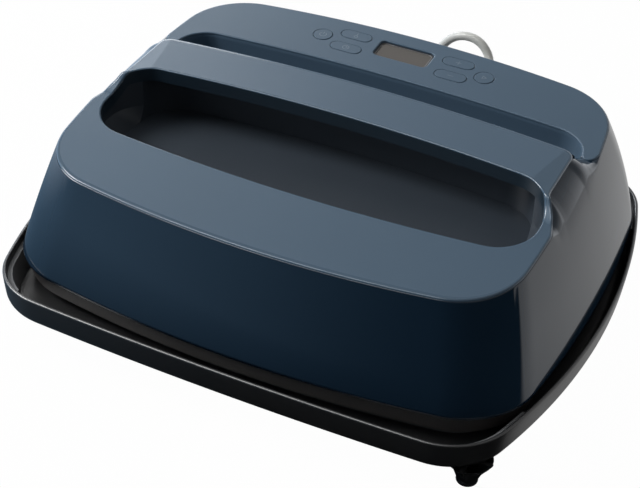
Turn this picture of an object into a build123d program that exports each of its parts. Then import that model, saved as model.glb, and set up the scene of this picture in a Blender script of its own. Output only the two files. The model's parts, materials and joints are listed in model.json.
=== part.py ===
from build123d import *
import math
import os

# Handheld heat press standing in its safety base.
# Millimetres, +Z up, the floor is z = 0, the operator stands at -Y.

# Heat plate
PLATE_LENGTH = 304.8
PLATE_WIDTH = 254.0
PLATE_THICKNESS = 8.0
PLATE_CORNER = 32.0
PLATE_SIDE_RADIUS = 652.0
PLATE_END_RADIUS = 706.0

# Safety base
LEG_HEIGHT = 17.0
FOOT_TIP_HEIGHT = 4.0
FOOT_TIP_RADIUS = 6.2
LEG_ROOT_RADIUS = 10.5
LEG_INSET = 34.5
LEG_SETBACK = 17.0
TRAY_DEPTH = 20.0
TRAY_WALL = 2.6
TRAY_FLOOR = 2.5
TRAY_TAPER = 1.5
TRAY_EDGE_RADIUS = 7.0
TRAY_SIDE_GAP = 8.6
TRAY_FRONT_GAP = 11.9
TRAY_BACK_GAP = 6.4
TRAY_SIDE_RADIUS = 416.0
TRAY_END_RADIUS = 2560.0
TRAY_CORNER = 42.0
MAT_THICKNESS = 5.3
MAT_MARGIN = 4.0
GUIDE_TOP_GAP = 4.0
GUIDE_ROOT = 6.0
GUIDE_TIP = 3.0
GUIDE_REACH_X = 32.0
GUIDE_REACH_Y = 43.4

# Housing outline at its lower edge, around the plate
SIDE_MARGIN = 17.6
FRONT_MARGIN = 14.4
BACK_MARGIN = 19.9
HOUSING_LIFT = 13.8
HOUSING_SIDE_RADIUS = 670.0
HOUSING_END_RADIUS = 722.0
HOUSING_CORNER = 49.7
HOUSING_WALL = 2.8

# How far the wall leans in with height h: lean * h + bulge * h * h
SIDE_LEAN = 0.245
SIDE_BULGE = 0.00085
FRONT_LEAN = 0.34
FRONT_BULGE = 0.00015
BACK_LEAN = 0.163
BACK_BULGE = 0.00287
CORNER_LEAN = 0.088
DOME_HEIGHT = 92.0

# Top surfaces, as heights above the housing's lower edge
FRONT_BAND_HEIGHT = 63.6
FRONT_BAND_SLOPE = 0.11
PANEL_HEIGHT = 75.6
PANEL_SLOPE = 0.08
PANEL_BACK_MARGIN = 56.9
GRIP_HEIGHT = 83.0
COVER_THICKNESS = 2.0
COVER_EDGE = 0.8
COVER_LIP = 1.2

# Grip bar, bowed in plan about a centre in front of the press
GRIP_BOW = 1000.0
GRIP_FRONT = -1.3
GRIP_REAR = 37.3
FRONT_RISE_SETBACK = 3.2
FRONT_FOOT_RADIUS = 22.0
FRONT_CREST_RADIUS = 8.0
FRONT_RISE_ANGLE = 57.0
REAR_OVERRUN = 4.0
REAR_ROUND = 4.0
SHOULDER_RADIUS = 25.1
SHOULDER_MARGIN = 44.0
SHOULDER_DROP = 22.8
CREASE_MARGIN = 44.6
CREASE_SKEW = 0.2
CREASE_SLOPE = 7.0
HORN_START = 6.5

# Finger well in front of the grip
WELL_SIDE_MARGIN = 31.3
WELL_FRONT_MARGIN = 73.7
WELL_FLOOR_HEIGHT = 46.2
WELL_CORNER = 25.4
WELL_FRONT_RADIUS = 1170.0
WELL_SCOOP = 10.0
WELL_SCOOP_HEIGHT = 10.0
WELL_WALL = 2.0
REACH_DEPTH = 17.5
REACH_MARGIN = 10.7
REACH_FRONT_GAP = 5.0
WELL_SIDE_RADIUS = 900.0
COLLAR_DEPTH = 9.0

# Thumb groove behind the grip
GROOVE_SIDE_MARGIN = 33.5
GROOVE_BACK_MARGIN = 78.3
GROOVE_FRONT_HIDDEN = 30.6
GROOVE_CORNER = 22.0
GROOVE_REAR_RADIUS = 1400.0
GROOVE_FLOOR_HEIGHT = 58.0
LINER_GAP = 0.1

# Heat guard under the housing
GUARD_REVEAL = 0.8
GUARD_TAPER = 4.0
GUARD_WALL = 2.5
GUARD_CLEARANCE = 1.0
FLANGE_THICKNESS = 2.5
LEDGE_THICKNESS = 1.5

# Fixing of the heat guard to the housing and of the heat shield to the guard
BOSS_INSET = 9.0
BOSS_SPREAD_Y = 0.295
BOSS_SPREAD_X = 0.279
EAR_RADIUS = 4.2
EAR_INSET = 9.5
EAR_SPREAD_Y = 0.15

# Controls
WINDOW_LENGTH = 37.0
WINDOW_WIDTH = 17.5
WINDOW_CORNER = 3.5
WINDOW_DEPTH = 1.3
WINDOW_Y = 6.0
LENS_THICKNESS = 1.2
BUTTON_GAP = 0.35
BUTTON_TRAVEL = 0.7
BUTTON_FLANGE = 1.2
BUTTON_PROUD = 0.15
BUTTON_CAP = 3.2
ROUND_BUTTON_RADIUS = 6.2
PILL_LENGTH = 21.0
PILL_WIDTH = 9.0
ROUND_BUTTON_X = 56.0
ROUND_BUTTON_Y = 3.4
UPPER_PILL_X = 35.6
UPPER_PILL_Y = 11.4
LOWER_PILL_X = 36.2
LOWER_PILL_Y = -4.0
BOARD_DROP = 11.0
BOARD_THICKNESS = 1.6
BOARD_LENGTH = 150.0
BOARD_WIDTH = 34.0
BOARD_SHIFT = 3.5
BEEPER_INSET = 23.0
SWITCH_SIZE = 6.0
SWITCH_BODY = 3.2

# Heating stack above the plate
ELEMENT_RADIUS = 3.3
ELEMENT_BEND = 14.0
ELEMENT_EDGE_GAP = 23.5
TERMINAL_X = 16.0
PAD_THICKNESS = 8.0
STANDOFF_HEIGHT = 12.0
STANDOFF_RADIUS = 4.5
SHIELD_THICKNESS = 1.2
SCREW_RADIUS = 1.95
SCREW_CLEARANCE = 0.15
HEAD_RADIUS = 3.6
HEAD_HEIGHT = 2.6
POWER_BOARD_POST = 12.0

# Mains cord
CORD_DIAMETER = 6.0
CORD_EXIT_X = 31.0
CORD_EXIT_HEIGHT = 21.2
RELIEF_LENGTH = 27.0
RELIEF_SLOTS = 5
RELIEF_SLOT_PITCH = 3.8
RELIEF_ROOT_RADIUS = 6.5
RELIEF_TIP_RADIUS = 4.2
RELIEF_COLLAR_RADIUS = 8.5
RELIEF_COLLAR = 2.5
COIL_CENTRE = (-62.0, 226.0)
COIL_INNER_RADIUS = 21.5
COIL_LOWER_HALF_TURNS = 8
COIL_UPPER_HALF_TURNS = 5
COIL_PITCH = 6.6
COIL_CLIMB_ROOM = 1.0
COIL_LIFT = 1.1
TIE_WIDTH = 12.0
TIE_THICKNESS = 0.8
PLUG_LENGTH = 34.0
PLUG_WIDTH = 24.0
PLUG_LEAD = 60.0
PIN_LENGTH = 17.0

# Levels worked out from the sizes above
RIM_Z = LEG_HEIGHT + TRAY_DEPTH
TRAY_FLOOR_Z = LEG_HEIGHT + TRAY_FLOOR
MAT_TOP_Z = TRAY_FLOOR_Z + MAT_THICKNESS
PLATE_GAP = 0.2
PLATE_Z = MAT_TOP_Z + PLATE_GAP
PLATE_TOP_Z = PLATE_Z + PLATE_THICKNESS
EDGE_Z = PLATE_Z + HOUSING_LIFT
FLANGE_TOP_Z = EDGE_Z + FLANGE_THICKNESS
LEDGE_Z = EDGE_Z - LEDGE_THICKNESS
SHIELD_Z = PLATE_TOP_Z + STANDOFF_HEIGHT
SHIELD_TOP_Z = SHIELD_Z + SHIELD_THICKNESS
BAND_REFERENCE_Y = -100.0
HALF_LENGTH = PLATE_LENGTH / 2 + SIDE_MARGIN
FRONT_EDGE = -(PLATE_WIDTH / 2 + FRONT_MARGIN)
BACK_EDGE = PLATE_WIDTH / 2 + BACK_MARGIN
GRIP_Z = EDGE_Z + GRIP_HEIGHT
PANEL_CENTRE_Y = BACK_EDGE - PANEL_BACK_MARGIN
SHOULDER_CENTRE_X = HALF_LENGTH - SHOULDER_MARGIN
CREASE_X = HALF_LENGTH - CREASE_MARGIN
WELL_HALF_WIDTH = HALF_LENGTH - WELL_SIDE_MARGIN
WELL_FRONT = FRONT_EDGE + WELL_FRONT_MARGIN
REACH_HALF_WIDTH = WELL_HALF_WIDTH - REACH_MARGIN
GROOVE_HALF_WIDTH = HALF_LENGTH - GROOVE_SIDE_MARGIN
GROOVE_REAR = BACK_EDGE - GROOVE_BACK_MARGIN
WELL_FLOOR_Z = EDGE_Z + WELL_FLOOR_HEIGHT
GROOVE_FLOOR_Z = EDGE_Z + GROOVE_FLOOR_HEIGHT
SKY_Z = EDGE_Z + DOME_HEIGHT + 20
FAR = 400.0

os.makedirs("parts", exist_ok=True)


def save(node, shape):
    export_step(shape, f"parts/{node}.step")


def corner_touch(side_c, side_radius, end_c, end_radius, corner):
    """Centre of a corner arc that lies inside both bowed sides, and where it touches them."""
    r1 = side_radius - corner
    r2 = end_radius - corner
    gap = math.hypot(side_c, end_c)
    along = (r1 * r1 - r2 * r2 + gap * gap) / (2 * gap)
    off = math.sqrt(r1 * r1 - along * along)
    ux, uy = -side_c / gap, end_c / gap
    cx = side_c + ux * along - uy * off
    cy = uy * along + ux * off
    if cx < 0 or cy < 0:
        cx = side_c + ux * along + uy * off
        cy = uy * along - ux * off
    to_side = (cx - side_c, cy)
    to_end = (cx, cy - end_c)
    side_len = math.hypot(*to_side)
    end_len = math.hypot(*to_end)
    on_side = (side_c + to_side[0] / side_len * side_radius, to_side[1] / side_len * side_radius)
    on_end = (to_end[0] / end_len * end_radius, end_c + to_end[1] / end_len * end_radius)
    mx, my = to_side[0] / side_len + to_end[0] / end_len, to_side[1] / side_len + to_end[1] / end_len
    middle = math.hypot(mx, my)
    on_corner = (cx + mx / middle * corner, cy + my / middle * corner)
    return on_side, on_corner, on_end


def bowed_outline(half_width, front, back, side_radius, front_radius, back_radius, corner, z=0.0):
    """Closed wire with four bowed sides and tangent corner arcs, level at height z."""
    mid = (front + back) / 2
    half_depth = (back - front) / 2
    side_c = half_width - side_radius
    front_pts = corner_touch(side_c, side_radius, half_depth - front_radius, front_radius, corner)
    back_pts = corner_touch(side_c, side_radius, half_depth - back_radius, back_radius, corner)

    def at(point, mirror_x, mirror_y):
        return (point[0] * mirror_x, mid + point[1] * mirror_y, z)

    fs, fc, fe = front_pts
    bs, bc, be = back_pts
    edges = [
        ThreePointArc(at(fe, -1, -1), (0, front, z), at(fe, 1, -1)),
        ThreePointArc(at(fe, 1, -1), at(fc, 1, -1), at(fs, 1, -1)),
        ThreePointArc(at(fs, 1, -1), (half_width, mid, z), at(bs, 1, 1)),
        ThreePointArc(at(bs, 1, 1), at(bc, 1, 1), at(be, 1, 1)),
        ThreePointArc(at(be, 1, 1), (0, back, z), at(be, -1, 1)),
        ThreePointArc(at(be, -1, 1), at(bc, -1, 1), at(bs, -1, 1)),
        ThreePointArc(at(bs, -1, 1), (-half_width, mid, z), at(fs, -1, -1)),
        ThreePointArc(at(fs, -1, -1), at(fc, -1, -1), at(fe, -1, -1)),
    ]
    return Wire(edges)


def prism(wire, height):
    return extrude(Face(wire), amount=height, dir=(0, 0, 1))


def box(x0, x1, y0, y1, z0, z1):
    return Pos((x0 + x1) / 2, (y0 + y1) / 2, (z0 + z1) / 2) * Box(x1 - x0, y1 - y0, z1 - z0)


def post(x, y, z0, z1, radius):
    return Pos(x, y, (z0 + z1) / 2) * Cylinder(radius, z1 - z0)


def union(shapes):
    total = shapes[0]
    for shape in shapes[1:]:
        total = total + shape
    return total


# Housing envelope

def dome_wire(h, inset=0.0):
    """Outline of the housing wall at height h above its lower edge, moved in by inset."""
    side = HALF_LENGTH - SIDE_LEAN * h - SIDE_BULGE * h * h - inset
    front = FRONT_EDGE + FRONT_LEAN * h + FRONT_BULGE * h * h + inset
    back = BACK_EDGE - BACK_LEAN * h - BACK_BULGE * h * h - inset
    return bowed_outline(
        side, front, back, HOUSING_SIDE_RADIUS, HOUSING_END_RADIUS, HOUSING_END_RADIUS,
        HOUSING_CORNER - CORNER_LEAN * h - inset, EDGE_Z + h,
    )


def dome(inset=0.0, bottom=0.0):
    levels = [bottom, 30.0, 60.0, DOME_HEIGHT]
    return Solid.make_loft([dome_wire(h, inset) for h in levels])


def band_z(y):
    return EDGE_Z + FRONT_BAND_HEIGHT + FRONT_BAND_SLOPE * (y - BAND_REFERENCE_Y)


def panel_z(y):
    return EDGE_Z + PANEL_HEIGHT + PANEL_SLOPE * (y - PANEL_CENTRE_Y)


def wall_back(h, x):
    """Y of the rear wall at height h and at x."""
    return BACK_EDGE - BACK_LEAN * h - BACK_BULGE * h * h - x * x / (2 * HOUSING_END_RADIUS)


def wall_front(h, x):
    return FRONT_EDGE + FRONT_LEAN * h + FRONT_BULGE * h * h + x * x / (2 * HOUSING_END_RADIUS)


def wall_side(h, y):
    mid = (FRONT_EDGE + BACK_EDGE) / 2
    bow = (y - mid) ** 2 / (2 * HOUSING_SIDE_RADIUS)
    return HALF_LENGTH - SIDE_LEAN * h - SIDE_BULGE * h * h - bow


def grip_section(drop):
    """The grip bar's cross-section on the YZ plane: a concave foot at the front, a rounded rear edge."""
    angle = math.radians(FRONT_RISE_ANGLE)
    top = GRIP_Z - drop
    crest_y = GRIP_FRONT - FRONT_RISE_SETBACK
    join_y = crest_y - FRONT_CREST_RADIUS * math.sin(angle)
    join_z = top - FRONT_CREST_RADIUS * (1 - math.cos(angle))
    foot_y = join_y - FRONT_FOOT_RADIUS * math.sin(angle)
    foot_z = join_z - FRONT_FOOT_RADIUS * (1 - math.cos(angle))
    rear_y = GRIP_REAR + REAR_OVERRUN
    low = EDGE_Z + WELL_FLOOR_HEIGHT
    sin_half, cos_half = math.sin(angle / 2), math.cos(angle / 2)
    on_foot = (0, foot_y + FRONT_FOOT_RADIUS * sin_half, foot_z + FRONT_FOOT_RADIUS * (1 - cos_half))
    on_crest = (0, crest_y - FRONT_CREST_RADIUS * sin_half, top - FRONT_CREST_RADIUS * (1 - cos_half))
    round_in = REAR_ROUND * (1 - math.sqrt(0.5))
    edges = [
        Line((0, foot_y, low), (0, foot_y, foot_z)),
        ThreePointArc((0, foot_y, foot_z), on_foot, (0, join_y, join_z)),
        ThreePointArc((0, join_y, join_z), on_crest, (0, crest_y, top)),
        Line((0, crest_y, top), (0, rear_y - REAR_ROUND, top)),
        ThreePointArc(
            (0, rear_y - REAR_ROUND, top), (0, rear_y - round_in, top - round_in), (0, rear_y, top - REAR_ROUND),
        ),
        Line((0, rear_y, top - REAR_ROUND), (0, rear_y, low)),
        Line((0, rear_y, low), (0, foot_y, low)),
    ]
    return Face(Wire(edges))


def grip_ring(face):
    """Sweep a YZ section round the grip's bow."""
    sweep_angle = 22.0
    axis = Axis((0, -GRIP_BOW, 0), (0, 0, 1))
    return revolve(face, axis, sweep_angle).rotate(axis, -sweep_angle / 2)


def grip_cylinder(offset):
    """Everything in front of a line that runs parallel to the grip, offset from x = y = 0."""
    return Pos(0, -GRIP_BOW, EDGE_Z) * Cylinder(GRIP_BOW + offset, 4 * DOME_HEIGHT)


def shoulder_prism(inset=0.0, drop=0.0):
    """Rounds the ends of the grip down into the side walls."""
    radius = SHOULDER_RADIUS - inset
    centre_z = GRIP_Z - SHOULDER_DROP - drop
    x = SHOULDER_CENTRE_X
    top = centre_z + radius
    half = math.sqrt(0.5) * radius
    side = [
        Line((x, FAR, top), (-x, FAR, top)),
        ThreePointArc((-x, FAR, top), (-x - half, FAR, centre_z + half), (-x - radius, FAR, centre_z)),
        Line((-x - radius, FAR, centre_z), (-FAR, FAR, centre_z)),
        Line((-FAR, FAR, centre_z), (-FAR, FAR, 0)),
        Line((-FAR, FAR, 0), (FAR, FAR, 0)),
        Line((FAR, FAR, 0), (FAR, FAR, centre_z)),
        Line((FAR, FAR, centre_z), (x + radius, FAR, centre_z)),
        ThreePointArc((x + radius, FAR, centre_z), (x + half, FAR, centre_z + half), (x, FAR, top)),
    ]
    return extrude(Face(Wire(side)), amount=2 * FAR, dir=(0, -1, 0))


def crease_halves(drop):
    """Below two planes that slope gently outwards from a slanting crease near each end of the grip."""
    fall = math.tan(math.radians(CREASE_SLOPE))
    reach = 300.0
    top = GRIP_Z - drop
    halves = []
    for side in (-1, 1):
        x = CREASE_X + CREASE_SKEW * FAR
        points = [
            (side * (x - reach), FAR, top + reach * fall),
            (side * (x + reach), FAR, top - reach * fall),
            (side * (x + reach), FAR, 0),
            (side * (x - reach), FAR, 0),
        ]
        face = Face(Wire(Polyline(*points, close=True)))
        halves.append(extrude(face, amount=2 * FAR, dir=(-side * CREASE_SKEW, -1, 0)))
    return halves[0] & halves[1]


def under_top(drop, inset=0.0):
    """Everything below the front band, the grip and the control panel, lowered by drop."""
    step_y = 5.0
    points = [
        (-FAR, -FAR, 0),
        (-FAR, -FAR, band_z(-FAR) - drop),
        (-FAR, step_y, band_z(step_y) - drop),
        (-FAR, step_y, panel_z(step_y) - drop),
        (-FAR, FAR, panel_z(FAR) - drop),
        (-FAR, FAR, 0),
    ]
    low = extrude(Face(Wire(Polyline(*points, close=True))), amount=2 * FAR, dir=(1, 0, 0))
    grip = grip_ring(grip_section(drop)) & shoulder_prism(inset, drop if inset else 0.0)
    return low + (grip & crease_halves(drop))


def envelope(inset, drop):
    return dome(inset) & under_top(drop, inset)


# Finger well and thumb groove

def mouth_wire(z, grow=0.0, scoop=0.0):
    size = grow - scoop
    return bowed_outline(
        WELL_HALF_WIDTH + size, WELL_FRONT - size, GRIP_FRONT + grow, WELL_SIDE_RADIUS,
        WELL_FRONT_RADIUS + size, GRIP_BOW + grow, WELL_CORNER + size, z,
    )


def well_mouth(grow=0.0):
    """The open part of the finger well: a scooped floor and straight walls above it."""
    scoop_z = WELL_FLOOR_Z + WELL_SCOOP_HEIGHT
    low = Solid.make_loft([mouth_wire(WELL_FLOOR_Z - grow, grow, WELL_SCOOP), mouth_wire(scoop_z, grow)])
    return low + prism(mouth_wire(scoop_z, grow), SKY_Z - scoop_z)


def well_reach(grow=0.0):
    """The pocket that lets the fingertips close under the grip."""
    low = WELL_FLOOR_Z - grow
    high = GRIP_Z - COLLAR_DEPTH + grow
    wire = bowed_outline(
        REACH_HALF_WIDTH + grow, WELL_FRONT + WELL_SCOOP + REACH_FRONT_GAP, GRIP_FRONT + REACH_DEPTH + grow,
        WELL_SIDE_RADIUS, WELL_FRONT_RADIUS, GRIP_BOW + REACH_DEPTH, WELL_CORNER, low,
    )
    return prism(wire, high - low)


def groove(grow=0.0):
    """The thumb groove between the grip and the control panel."""
    low = GROOVE_FLOOR_Z - grow
    wire = bowed_outline(
        GROOVE_HALF_WIDTH + grow, GRIP_REAR - GROOVE_FRONT_HIDDEN, GROOVE_REAR + grow, WELL_SIDE_RADIUS,
        GRIP_BOW, GROOVE_REAR_RADIUS + grow, GROOVE_CORNER + grow, low,
    )
    return prism(wire, SKY_Z - low) - grip_cylinder(GRIP_REAR - grow)


# Safety base

def tray_wire(inset, z):
    return bowed_outline(
        HALF_LENGTH + TRAY_SIDE_GAP - inset, FRONT_EDGE - TRAY_FRONT_GAP + inset,
        BACK_EDGE + TRAY_BACK_GAP - inset, TRAY_SIDE_RADIUS, TRAY_END_RADIUS, TRAY_END_RADIUS,
        TRAY_CORNER - inset, z,
    )


def leg_places():
    x = HALF_LENGTH + TRAY_SIDE_GAP - LEG_INSET
    front = FRONT_EDGE - TRAY_FRONT_GAP + LEG_INSET * 0.7
    back = BACK_EDGE + TRAY_BACK_GAP - LEG_INSET * 0.7
    return {
        "front_left": (-x, front + LEG_SETBACK),
        "front_right": (x, front),
        "back_left": (-x, back),
        "back_right": (x, back),
    }


def tray_room():
    """Space inside the tray, with the rounded edge of its floor."""
    room = Solid.make_loft([
        tray_wire(TRAY_TAPER + TRAY_WALL, TRAY_FLOOR_Z),
        tray_wire(TRAY_WALL, RIM_Z),
    ])
    return fillet(room.edges().group_by(Axis.Z)[0], TRAY_EDGE_RADIUS - TRAY_FLOOR)


def base_tray():
    outer = Solid.make_loft([tray_wire(TRAY_TAPER, LEG_HEIGHT), tray_wire(0, RIM_Z)])
    outer = fillet(outer.edges().group_by(Axis.Z)[0], TRAY_EDGE_RADIUS)
    tray = outer - tray_room()
    for x, y in leg_places().values():
        leg = Pos(x, y, FOOT_TIP_HEIGHT) * Solid.make_cone(
            FOOT_TIP_RADIUS, LEG_ROOT_RADIUS, LEG_HEIGHT + 0.5 - FOOT_TIP_HEIGHT
        )
        fin = Pos(x, y, 0) * leg_fins()
        tray = tray + leg + fin
    return tray


def leg_fins():
    """Four tapered fins that spread the leg's load into the tray floor."""
    reach = LEG_ROOT_RADIUS + 3.0
    low = FOOT_TIP_HEIGHT + 2.0
    high = LEG_HEIGHT + 0.5
    profile = Polyline((0, 0, low), (FOOT_TIP_RADIUS, 0, low), (reach, 0, high), (0, 0, high), close=True)
    thickness = 2.2
    blade = Pos(0, -thickness / 2, 0) * extrude(Face(Wire(profile)), amount=thickness, dir=(0, 1, 0))
    return union([blade.rotate(Axis.Z, angle) for angle in (0, 90, 180, 270)])


def foot_tip(x, y):
    tip = Pos(x, y, FOOT_TIP_HEIGHT / 2) * Cylinder(FOOT_TIP_RADIUS, FOOT_TIP_HEIGHT)
    return fillet(tip.edges().group_by(Axis.Z)[0], FOOT_TIP_HEIGHT / 2 - 0.2)


def plate_wire(grow, z):
    half_length = PLATE_LENGTH / 2 + grow
    half_width = PLATE_WIDTH / 2 + grow
    return bowed_outline(
        half_length, -half_width, half_width, PLATE_SIDE_RADIUS + grow, PLATE_END_RADIUS + grow,
        PLATE_END_RADIUS + grow, PLATE_CORNER + grow, z,
    )


def plate_slab(grow, z, thickness):
    return prism(plate_wire(grow, z), thickness)


def base_mat():
    return plate_slab(MAT_MARGIN, TRAY_FLOOR_Z, MAT_THICKNESS)


def corner_guides():
    """Soft sloping shoes in the tray corners that steer the press down onto the mat."""
    top = RIM_Z - GUIDE_TOP_GAP
    taper = TRAY_TAPER + TRAY_WALL
    room = tray_room() & box(-FAR, FAR, -FAR, FAR, 0, top)
    core = Solid.make_loft([
        tray_wire(taper + GUIDE_ROOT, TRAY_FLOOR_Z - 1),
        tray_wire(TRAY_WALL + GUIDE_TIP, top + 1),
    ])
    ring = room - core
    shoes = []
    guide_x = HALF_LENGTH - GUIDE_REACH_X
    front_y = FRONT_EDGE + GUIDE_REACH_Y
    back_y = BACK_EDGE - GUIDE_REACH_Y - 5.5
    for x0, x1 in ((-FAR, -guide_x), (guide_x, FAR)):
        for y0, y1 in ((-FAR, front_y), (back_y, FAR)):
            shoes += (ring & box(x0, x1, y0, y1, 0, top + 1)).solids()
    return Compound(children=shoes)


# Housing and covers

def boss_places():
    """Screw bosses along the inside of the housing wall."""
    inset = BOSS_INSET
    places = []
    for y in (-BOSS_SPREAD_Y * PLATE_WIDTH, 0.0, BOSS_SPREAD_Y * PLATE_WIDTH):
        x = wall_side(0, y) - inset
        places += [(x, y), (-x, y)]
    for x in (-BOSS_SPREAD_X * PLATE_LENGTH, BOSS_SPREAD_X * PLATE_LENGTH):
        places += [(x, wall_front(0, x) + inset - 1.0), (x, wall_back(0, x) - inset)]
    return places


def button_plane():
    """Plane of the control panel's face, with its x along +X."""
    slope = math.atan(PANEL_SLOPE)
    normal = (0, -math.sin(slope), math.cos(slope))
    return Plane(origin=(0, PANEL_CENTRE_Y, panel_z(PANEL_CENTRE_Y)), x_dir=(1, 0, 0), z_dir=normal)


BUTTONS = {
    "power_button": ("round", -ROUND_BUTTON_X, ROUND_BUTTON_Y),
    "temperature_button": ("pill", -UPPER_PILL_X, UPPER_PILL_Y),
    "timer_button": ("pill", -LOWER_PILL_X, LOWER_PILL_Y),
    "plus_button": ("pill", UPPER_PILL_X, UPPER_PILL_Y),
    "minus_button": ("pill", LOWER_PILL_X, LOWER_PILL_Y),
    "start_button": ("round", ROUND_BUTTON_X, ROUND_BUTTON_Y),
}


def button_outline(kind, grow):
    if kind == "round":
        return Circle(ROUND_BUTTON_RADIUS + grow)
    return SlotOverall(PILL_LENGTH + 2 * grow, PILL_WIDTH + 2 * grow)


def on_panel(x, y, depth, shape):
    return button_plane() * Pos(x, y, -depth) * shape


def build_shells():
    """Housing, groove liner, mouth collar, front cover and control panel, cut from one envelope."""
    whole = envelope(0.0, 0.0)
    mouth = well_mouth()
    thumb = groove()
    between = grip_cylinder(GRIP_REAR + HORN_START) - grip_cylinder(GRIP_REAR)
    edge_layer = whole - under_top(COVER_EDGE)
    seat = (whole & dome(COVER_LIP)) - under_top(COVER_THICKNESS) - well_mouth(COVER_LIP) - groove(COVER_LIP)
    covers = (edge_layer + seat) - mouth - thumb
    top_cover = covers & grip_cylinder(GRIP_REAR - LINER_GAP)
    panel = covers - grip_cylinder(GRIP_REAR + HORN_START + LINER_GAP)

    hollow = envelope(HOUSING_WALL, COVER_THICKNESS + HOUSING_WALL)
    block = (whole - edge_layer - seat) + (whole & between)
    trough = (block & groove(HOUSING_WALL)) - thumb
    collar = (block & well_mouth(HOUSING_WALL)) - under_top(COLLAR_DEPTH) - mouth - trough
    shell = block - hollow - well_mouth(HOUSING_WALL + LINER_GAP) - groove(HOUSING_WALL + LINER_GAP)
    bosses = [post(x, y, FLANGE_TOP_Z, EDGE_Z + 34, 4.2) for x, y in boss_places()]
    shell = shell + (union(bosses) & dome(1.0, FLANGE_THICKNESS))
    pilots = [post(x, y, FLANGE_TOP_Z - 1, FLANGE_TOP_Z + 13, SCREW_RADIUS) for x, y in boss_places()]
    for pilot in pilots:
        shell = shell - pilot
    return shell, trough, collar, top_cover, panel


def largest(shape):
    return max(shape.solids(), key=lambda solid: solid.volume)


def finish_panel(panel):
    """Window, button holes and the board bosses under the control panel."""
    window = RectangleRounded(WINDOW_LENGTH, WINDOW_WIDTH, WINDOW_CORNER)
    panel = panel - on_panel(0, WINDOW_Y, 3 * COVER_THICKNESS, extrude(window, 4 * COVER_THICKNESS))
    for kind, x, y in BUTTONS.values():
        hole = extrude(button_outline(kind, BUTTON_GAP), 4 * COVER_THICKNESS)
        panel = panel - on_panel(x, y, 3 * COVER_THICKNESS, hole)
    for x, y in board_screw_places():
        boss = Cylinder(3.0, BOARD_DROP - COVER_THICKNESS, align=(Align.CENTER, Align.CENTER, Align.MIN))
        pilot = Cylinder(SCREW_RADIUS * 0.7, 8, align=(Align.CENTER, Align.CENTER, Align.MIN))
        panel = panel + on_panel(x, y, BOARD_DROP, boss) - on_panel(x, y, BOARD_DROP + 1, pilot)
    return panel


def board_screw_places():
    x = BOARD_LENGTH / 2 - 4
    y = BOARD_WIDTH / 2 - 4
    low, high = BOARD_SHIFT - y, BOARD_SHIFT + y
    return [(-x, low), (x, low), (-x, high), (x, high)]


def control_opening():
    """Hole in the housing's top under the panel for the buttons, window and bosses."""
    hole = RectangleRounded(BOARD_LENGTH + 6, BOARD_WIDTH + 4, 6)
    return on_panel(0, BOARD_SHIFT, BOARD_DROP + 6, extrude(hole, 30))


def button_cap(kind, x, y):
    face = button_outline(kind, 0.0)
    flange = button_outline(kind, BUTTON_FLANGE)
    cap = extrude(face, BUTTON_CAP + BUTTON_PROUD)
    cap = fillet(cap.edges().group_by(Axis.Z)[-1], 0.3)
    rim_depth = COVER_THICKNESS + 0.3
    rim = Pos(0, 0, BUTTON_CAP - rim_depth - 0.9) * extrude(flange, 0.9)
    stem_length = BOARD_DROP - BUTTON_CAP - SWITCH_BODY - 0.9
    stem = Cylinder(1.8, stem_length, align=(Align.CENTER, Align.CENTER, Align.MAX))
    return on_panel(x, y, BUTTON_CAP, cap + rim + stem)


def lens():
    window = RectangleRounded(WINDOW_LENGTH - 0.4, WINDOW_WIDTH - 0.4, WINDOW_CORNER - 0.2)
    rim = RectangleRounded(WINDOW_LENGTH + 3, WINDOW_WIDTH + 3, WINDOW_CORNER + 1)
    pane = extrude(window, COVER_THICKNESS - WINDOW_DEPTH)
    seat = Pos(0, 0, -LENS_THICKNESS) * extrude(rim, LENS_THICKNESS)
    return on_panel(0, WINDOW_Y, COVER_THICKNESS, pane + seat)


def lcd_module():
    height = BOARD_DROP - COVER_THICKNESS - LENS_THICKNESS
    return on_panel(0, WINDOW_Y, BOARD_DROP, extrude(Rectangle(WINDOW_LENGTH + 2.4, WINDOW_WIDTH + 2.4), height))


def control_board():
    board = Pos(0, BOARD_SHIFT, 0) * extrude(RectangleRounded(BOARD_LENGTH, BOARD_WIDTH, 2), BOARD_THICKNESS)
    for x, y in board_screw_places():
        board = board - Pos(x, y, 0) * Cylinder(1.6, 4 * BOARD_THICKNESS)
    return on_panel(0, 0, BOARD_DROP + BOARD_THICKNESS, board)


def board_screws():
    solids = []
    for x, y in board_screw_places():
        shank = Cylinder(1.3, BOARD_THICKNESS + 5, align=(Align.CENTER, Align.CENTER, Align.MIN))
        head = Cylinder(2.6, 1.8, align=(Align.CENTER, Align.CENTER, Align.MAX))
        solids.append(on_panel(x, y, BOARD_DROP + BOARD_THICKNESS, shank + head).solid())
    return Compound(children=solids)


def tact_switches():
    solids = []
    for kind, x, y in BUTTONS.values():
        body = extrude(RectangleRounded(SWITCH_SIZE, SWITCH_SIZE, 0.6), SWITCH_BODY)
        solids.append(on_panel(x, y, BOARD_DROP, body).solid())
    return Compound(children=solids)


def beeper():
    disc = Cylinder(6.0, 5.0, align=(Align.CENTER, Align.CENTER, Align.MAX))
    port = Cylinder(1.2, 2.0, align=(Align.CENTER, Align.CENTER, Align.MAX))
    x = BOARD_LENGTH / 2 - BEEPER_INSET
    return on_panel(x, -6, BOARD_DROP + BOARD_THICKNESS, disc - Pos(0, 0, -4) * port)


# Finger well liner

def handle_well():
    tub = (well_mouth(WELL_WALL) & under_top(COLLAR_DEPTH)) + well_reach(WELL_WALL)
    space = well_mouth() + well_reach()
    tub = tub - space - (well_mouth(HOUSING_WALL + 0.1) - under_top(COLLAR_DEPTH))
    return largest(tub)


# Heat guard

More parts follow.
